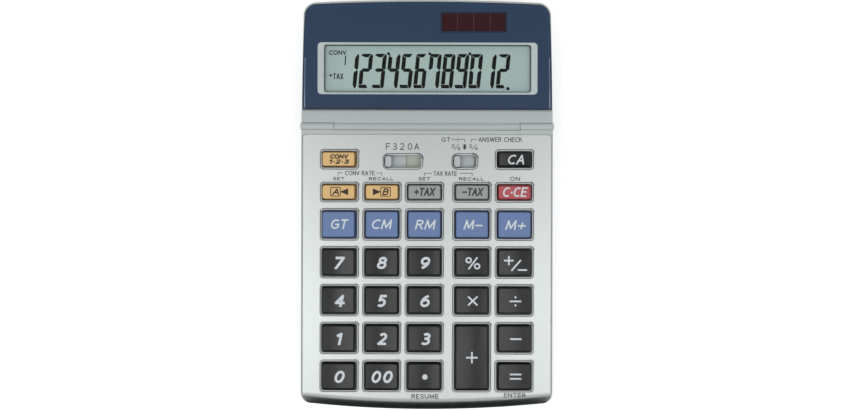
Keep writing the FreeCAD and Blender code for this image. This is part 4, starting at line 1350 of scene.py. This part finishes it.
# Painted highlight: a pale ink line up each side of the cover.
gleam_blue = ink("cover_gleam_blue", colour(138, 150, 164))
printed("cover_gleam", "front_cover", "head", (0, 0), gleam, gleam_pen, gleam_blue, height=0)
# Painted shade: a dark ink line along the foot of the cover.
foot_pen = 0.5
foot_half = 51.5
foot_along = 7.35
foot_line = [[(-foot_half, foot_along), (foot_half, foot_along)]]
foot_shade_ink = ink("cover_foot_blue", colour(12, 22, 38))
printed("cover_foot", "front_cover", "head", (0, 0), foot_line, foot_pen, foot_shade_ink, height=0)
print("lines on the cover", len(gleam) + len(foot_line))

# %% [markdown]
# The sheet of the plate is punched, and its edge rolls a little way into each opening. The solids leave an even
# groove round every rim. A narrow lip of the plate's own metal, laid level with the face, closes the outer part of
# it and gives the openings their round corners. Each rim also has a paler crest on its inner half, a painted
# highlight, and a dark line on the floor of its groove, painted shade.

# %% Lips of the openings, and painted shade and highlights of their rims
flange_reach = 0.55
key_opening_corner = 1.6
slot_along = -14.7
slot_height = 5.4
slot_corner = 2.5
slots = ((-10.15, 15.5), (15.97, 9.7))
openings = [((across, slot_along), width, slot_height, slot_corner) for across, width in slots]
for node in frame["nodes"]:
    if node.startswith("key_") and node != "key_mat":
        width, height = (most - least - 2 * flange_reach for least, most in face_limits(node))
        openings.append((face_centre(node), width, height, key_opening_corner))


def round_openings(reach, sharper):
    """A path round every opening, so far outside it, with corners sharper by so much."""
    paths = []
    for centre, width, height, corner in openings:
        paths += rounded_box(width + 2 * reach, height + 2 * reach, corner - sharper, centre)
    return paths


# Painted shade on the floor of each groove, and a painted highlight on the crest of each rim.
groove_shade_grey = ink("groove_shade_grey", colour(78, 82, 84))
crest_highlight_grey = ink("rim_crest_grey", colour(196, 201, 203))
# Piece, node, reach, how much sharper, pen, finish.
for name, node, reach, sharper, pen, finish in (
        ("plate_lips", None, 0.92, 0.0, 0.3, finishes["face_metal"]),
        ("rim_groove_shades", "top_case", 0.62, 0.3, 0.22, groove_shade_grey),
        ("rim_crest_highlights", "top_case", 0.26, 0.7, 0.24, crest_highlight_grey)):
    printed(name, node, "base", (0, 0), round_openings(reach, sharper), pen, finish)
print("openings", len(openings))

# %% [markdown]
# Each knob stands at the left end of its slot and leaves a gap there, and the dark curve in it is a painted
# shadow.

# %% Painted shadows beside the knobs
gap_inset = 1.5
gap_corner = 1.65
gap_side = 1.2
gap_pen = 0.24
gaps = []
for across, width in slots:
    centre_x = across - width / 2 + gap_inset
    gaps.append(
        arc(centre_x, slot_along + gap_side, gap_corner, gap_corner, 90, 180)
        + arc(centre_x, slot_along - gap_side, gap_corner, gap_corner, 180, 270))
# Painted shadow in the gap at the left end of each slot.
gap_shadow_black = ink("slot_gap_black", colour(30, 34, 37))
printed("slot_gap_shadows", "top_case", "base", (0, 0), gaps, gap_pen, gap_shadow_black)
print("gaps", len(gaps))

# %% [markdown]
# ## Washers of the hinge
#
# Between the barrel and each ear lies a thin washer, which keeps the slit from being seen right
# down to the pin. It is a plain short drum, made as a ring of points swept along the hinge.

# %% Hinge washers
washer_radius = 1.95
washer_half = 0.09
washer_sides = 48
washer_place = 39.3


def washer(name, across):
    points = []
    for along_axis in (-washer_half, washer_half):
        for i in range(washer_sides):
            angle = 2 * math.pi * i / washer_sides
            rim = washer_radius * MILLIMETRE * Vector((0, math.cos(angle), math.sin(angle)))
            points.append(hinge_point + rim + (across + along_axis) * MILLIMETRE * face_across)
    faces = [list(reversed(range(washer_sides))), list(range(washer_sides, 2 * washer_sides))]
    for i in range(washer_sides):
        after = (i + 1) % washer_sides
        faces.append([i, after, washer_sides + after, washer_sides + i])
    return mesh_piece(name, points, faces, finishes["pin_plastic"], "base")


for side in (-1, 1):
    washer("hinge_washer_%s" % ("left" if side < 0 else "right"), side * washer_place)
print("washers", 2)

# %% [markdown]
# ## Crosses of the screws
#
# The screws are seen from below, where each head has a cross recess. A recess would need a cut in the CAD solid,
# so a dark cross lies just on the head instead as the painted shade of the recess, narrow at its ends as the
# driver leaves it.

# %% Crosses on the screw heads
cross_reach = 1.15
cross_half_width = 0.26
cross_taper = 0.7
cross_lift = 0.02
search_from = 0.03
# Painted shade of the cross recess.
recess_shade_finish = moulded_finish(
    "shadowed_recess", colour(30, 30, 31), 0.6, 0.3, 0.004, edge=0.05, gloss=0.2)


def cross_outline():
    tip_half_width = cross_half_width * cross_taper
    points = []
    for quarter in range(4):
        turn = Matrix.Rotation(math.radians(90 * quarter), 2)
        for x, y in ((cross_reach, -tip_half_width), (cross_reach, tip_half_width),
                     (cross_half_width, cross_half_width)):
            points.append(turn @ Vector((x, y)))
    return points


def screw_cross(name, node, centre, facing, body):
    """A cross on the outer face of a screw head; facing points out of that face."""
    sideways_axis = facing.cross(face_across).normalized()
    points = []
    for spot in cross_outline():
        shift = (spot.x * face_across + spot.y * sideways_axis) * MILLIMETRE
        hit = surface(node).ray_cast(centre + facing * search_from + shift, -facing)[0]
        points.append(hit + facing * cross_lift * MILLIMETRE)
    mesh_piece(name, points, [list(range(len(points)))], recess_shade_finish, body)


case_screw_places = [(side * 48.2, along) for side in (-1, 1) for along in (-103, -14)]
head_screw_places = [(side * 44.0, 45.6) for side in (-1, 1)]
for kind, body, places in (
        ("case", "base", case_screw_places), ("head", "head", head_screw_places)):
    for number, place in enumerate(places):
        screw_cross("%s_screw_cross_%d" % (kind, number), kind + "_screws", on_face(*place, 0),
                    -face_up, body)
battery_low, battery_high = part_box("battery_screw")
battery_centre = (battery_low + battery_high) / 2
screw_cross("battery_screw_cross", "battery_screw", battery_centre, Vector((0, 0, -1)), "base")
print("crosses", len(case_screw_places) + len(head_screw_places) + 1)

# %% [markdown]
# ## Camera
#
# The photograph was taken straight down on the keyboard face, so the camera looks along the
# face's own upright, from sixty centimetres, which gives the slight view of the walls of the
# outer keys. Its picture is as wide as the photograph's frame, and it is turned by a fraction
# of a degree, as the object lies in the picture.

# %% Place the camera
camera_distance = 0.6
frame_width = 0.3599
camera_aim = (0.04, -33.06)
camera_roll = math.radians(0.13)
camera_data = bpy.data.cameras.new("camera")
camera_data.sensor_width = 36
camera_data.lens = camera_data.sensor_width * camera_distance / frame_width
camera = bpy.data.objects.new("camera", camera_data)
bpy.context.scene.collection.objects.link(camera)
turned_across = math.cos(camera_roll) * face_across + math.sin(camera_roll) * face_along
turned_along = face_up.cross(turned_across)
axes = Matrix((turned_across, turned_along, face_up)).transposed().to_4x4()
axes.translation = on_face(*camera_aim, 0) + camera_distance * face_up
camera.matrix_world = axes
bpy.context.scene.camera = camera
print("lens", round(camera_data.lens, 2))

# %% [markdown]
# ## Soft boxes
#
# Catalogue pictures are lit by large soft boxes over a white table. One box would put its sheen
# at the same spot of every dish. Two boxes stand well apart here, to the left and right of the
# camera, and the sheen lies on the right half of the keys at the left and the other way round.

# %% Soft boxes
lamp_width = 0.4
lamp_height = 0.8


def soft_box(name, place, strength):
    """An oblong lamp that looks at the middle of the table."""
    data = bpy.data.lights.new(name, "AREA")
    data.shape = "RECTANGLE"
    data.size = lamp_width
    data.size_y = lamp_height
    data.energy = strength
    lamp = bpy.data.objects.new(name, data)
    bpy.context.scene.collection.objects.link(lamp)
    lamp.location = place
    lamp.rotation_euler = Vector(place).to_track_quat("Z", "Y").to_euler()


soft_box("left_box", (-0.42, -0.3, 0.9), 2.6)
soft_box("right_box", (0.42, -0.3, 0.9), 2.25)
print("lamps", len(bpy.data.lights))

# %% [markdown]
# ## Sky
#
# An even sky fills the rest of the room. It should look white but light the object only softly,
# and one strength can't do both. The Light Path node tells rays that see or mirror the sky from
# those that only carry its light, and so gives it two strengths.

# %% Sky
sky_strength = 0.62
seen_strength = 1.0


def seen_or_mirrored(tree):
    """One for camera, glossy and transmission rays, nought for the light itself."""
    ray = add_node(tree, "ShaderNodeLightPath")
    first = calculate(tree, "MAXIMUM", ray.outputs["Is Camera Ray"], ray.outputs["Is Glossy Ray"])
    return calculate(tree, "MAXIMUM", first, ray.outputs["Is Transmission Ray"])


world = bpy.data.worlds.new("studio_sky")
bpy.context.scene.world = world
world.use_nodes = True
sky_tree = world.node_tree
fill_inputs(sky_tree, sky_tree.nodes["Background"], {
    "Color": (1, 1, 1, 1),
    "Strength": spread(sky_tree, seen_or_mirrored(sky_tree), sky_strength, seen_strength),
})
print("sky", world.name)

# %% [markdown]
# ## Table
#
# The table is a white board with hardly any texture. It adds a little light of its own for the
# camera and for reflections, so that it reads as white and still keeps the shadow.

# %% White table
floor_half = 2.0
floor_glow = 0.42
floor_corners = [(-floor_half, -floor_half, 0), (floor_half, -floor_half, 0),
                 (floor_half, floor_half, 0), (-floor_half, floor_half, 0)]
table_finish, tree, shader = empty_finish("white_table")
fill_inputs(tree, shader, {
    "Base Color": speckled(tree, 0.002, colour(231, 232, 233), colour(233, 234, 235)),
    "Roughness": 0.9,
    "Specular IOR Level": 0.1,
    "Emission Color": (1, 1, 1, 1),
    "Emission Strength": spread(tree, seen_or_mirrored(tree), 0.0, floor_glow),
})
floor = new_object("floor", floor_corners, [(0, 1, 2, 3)], table_finish)
print("table", 2 * floor_half, "metres wide")

# %% [markdown]
# ## Black card
#
# Under a real studio ceiling the rolled front edge of the plate has a dark line. A black card,
# low in front and seen only in reflections, gives it that line. It lies flat, stands up and then
# leans in towards the object. Its outline gives, in metres, how far each fold lies in front of
# the object and how high.

# %% Black card in front
card_half_width = 0.0575
card_outline = [(-0.002, 0.0005), (-0.027, 0.0005), (-0.027, 0.013), (-0.0215, 0.038)]
card_corners = [(side * card_half_width, cad_low.y + before, z) for before, z in card_outline
                for side in (-1, 1)]
card_faces = [(2 * i, 2 * i + 1, 2 * i + 3, 2 * i + 2) for i in range(len(card_outline) - 1)]
card_finish, tree, shader = empty_finish("black_card")
fill_inputs(tree, shader, {
    "Base Color": speckled(tree, 0.002, colour(40, 46, 50), colour(46, 52, 57)),
    "Roughness": 0.9,
})
card = new_object("front_card", card_corners, card_faces, card_finish)
for unseen in ("camera", "diffuse", "transmission", "volume_scatter", "shadow"):
    setattr(card, "visible_" + unseen, False)
print("strips of the card", len(card_faces))

# %% [markdown]
# ## Plain colours, and the size of the solids
#
# A plain view transform shows colours as they are written.

# %% Finish
bpy.context.scene.view_settings.view_transform = "Standard"
print("cad box", [round(value, 4) for value in cad_high - cad_low])
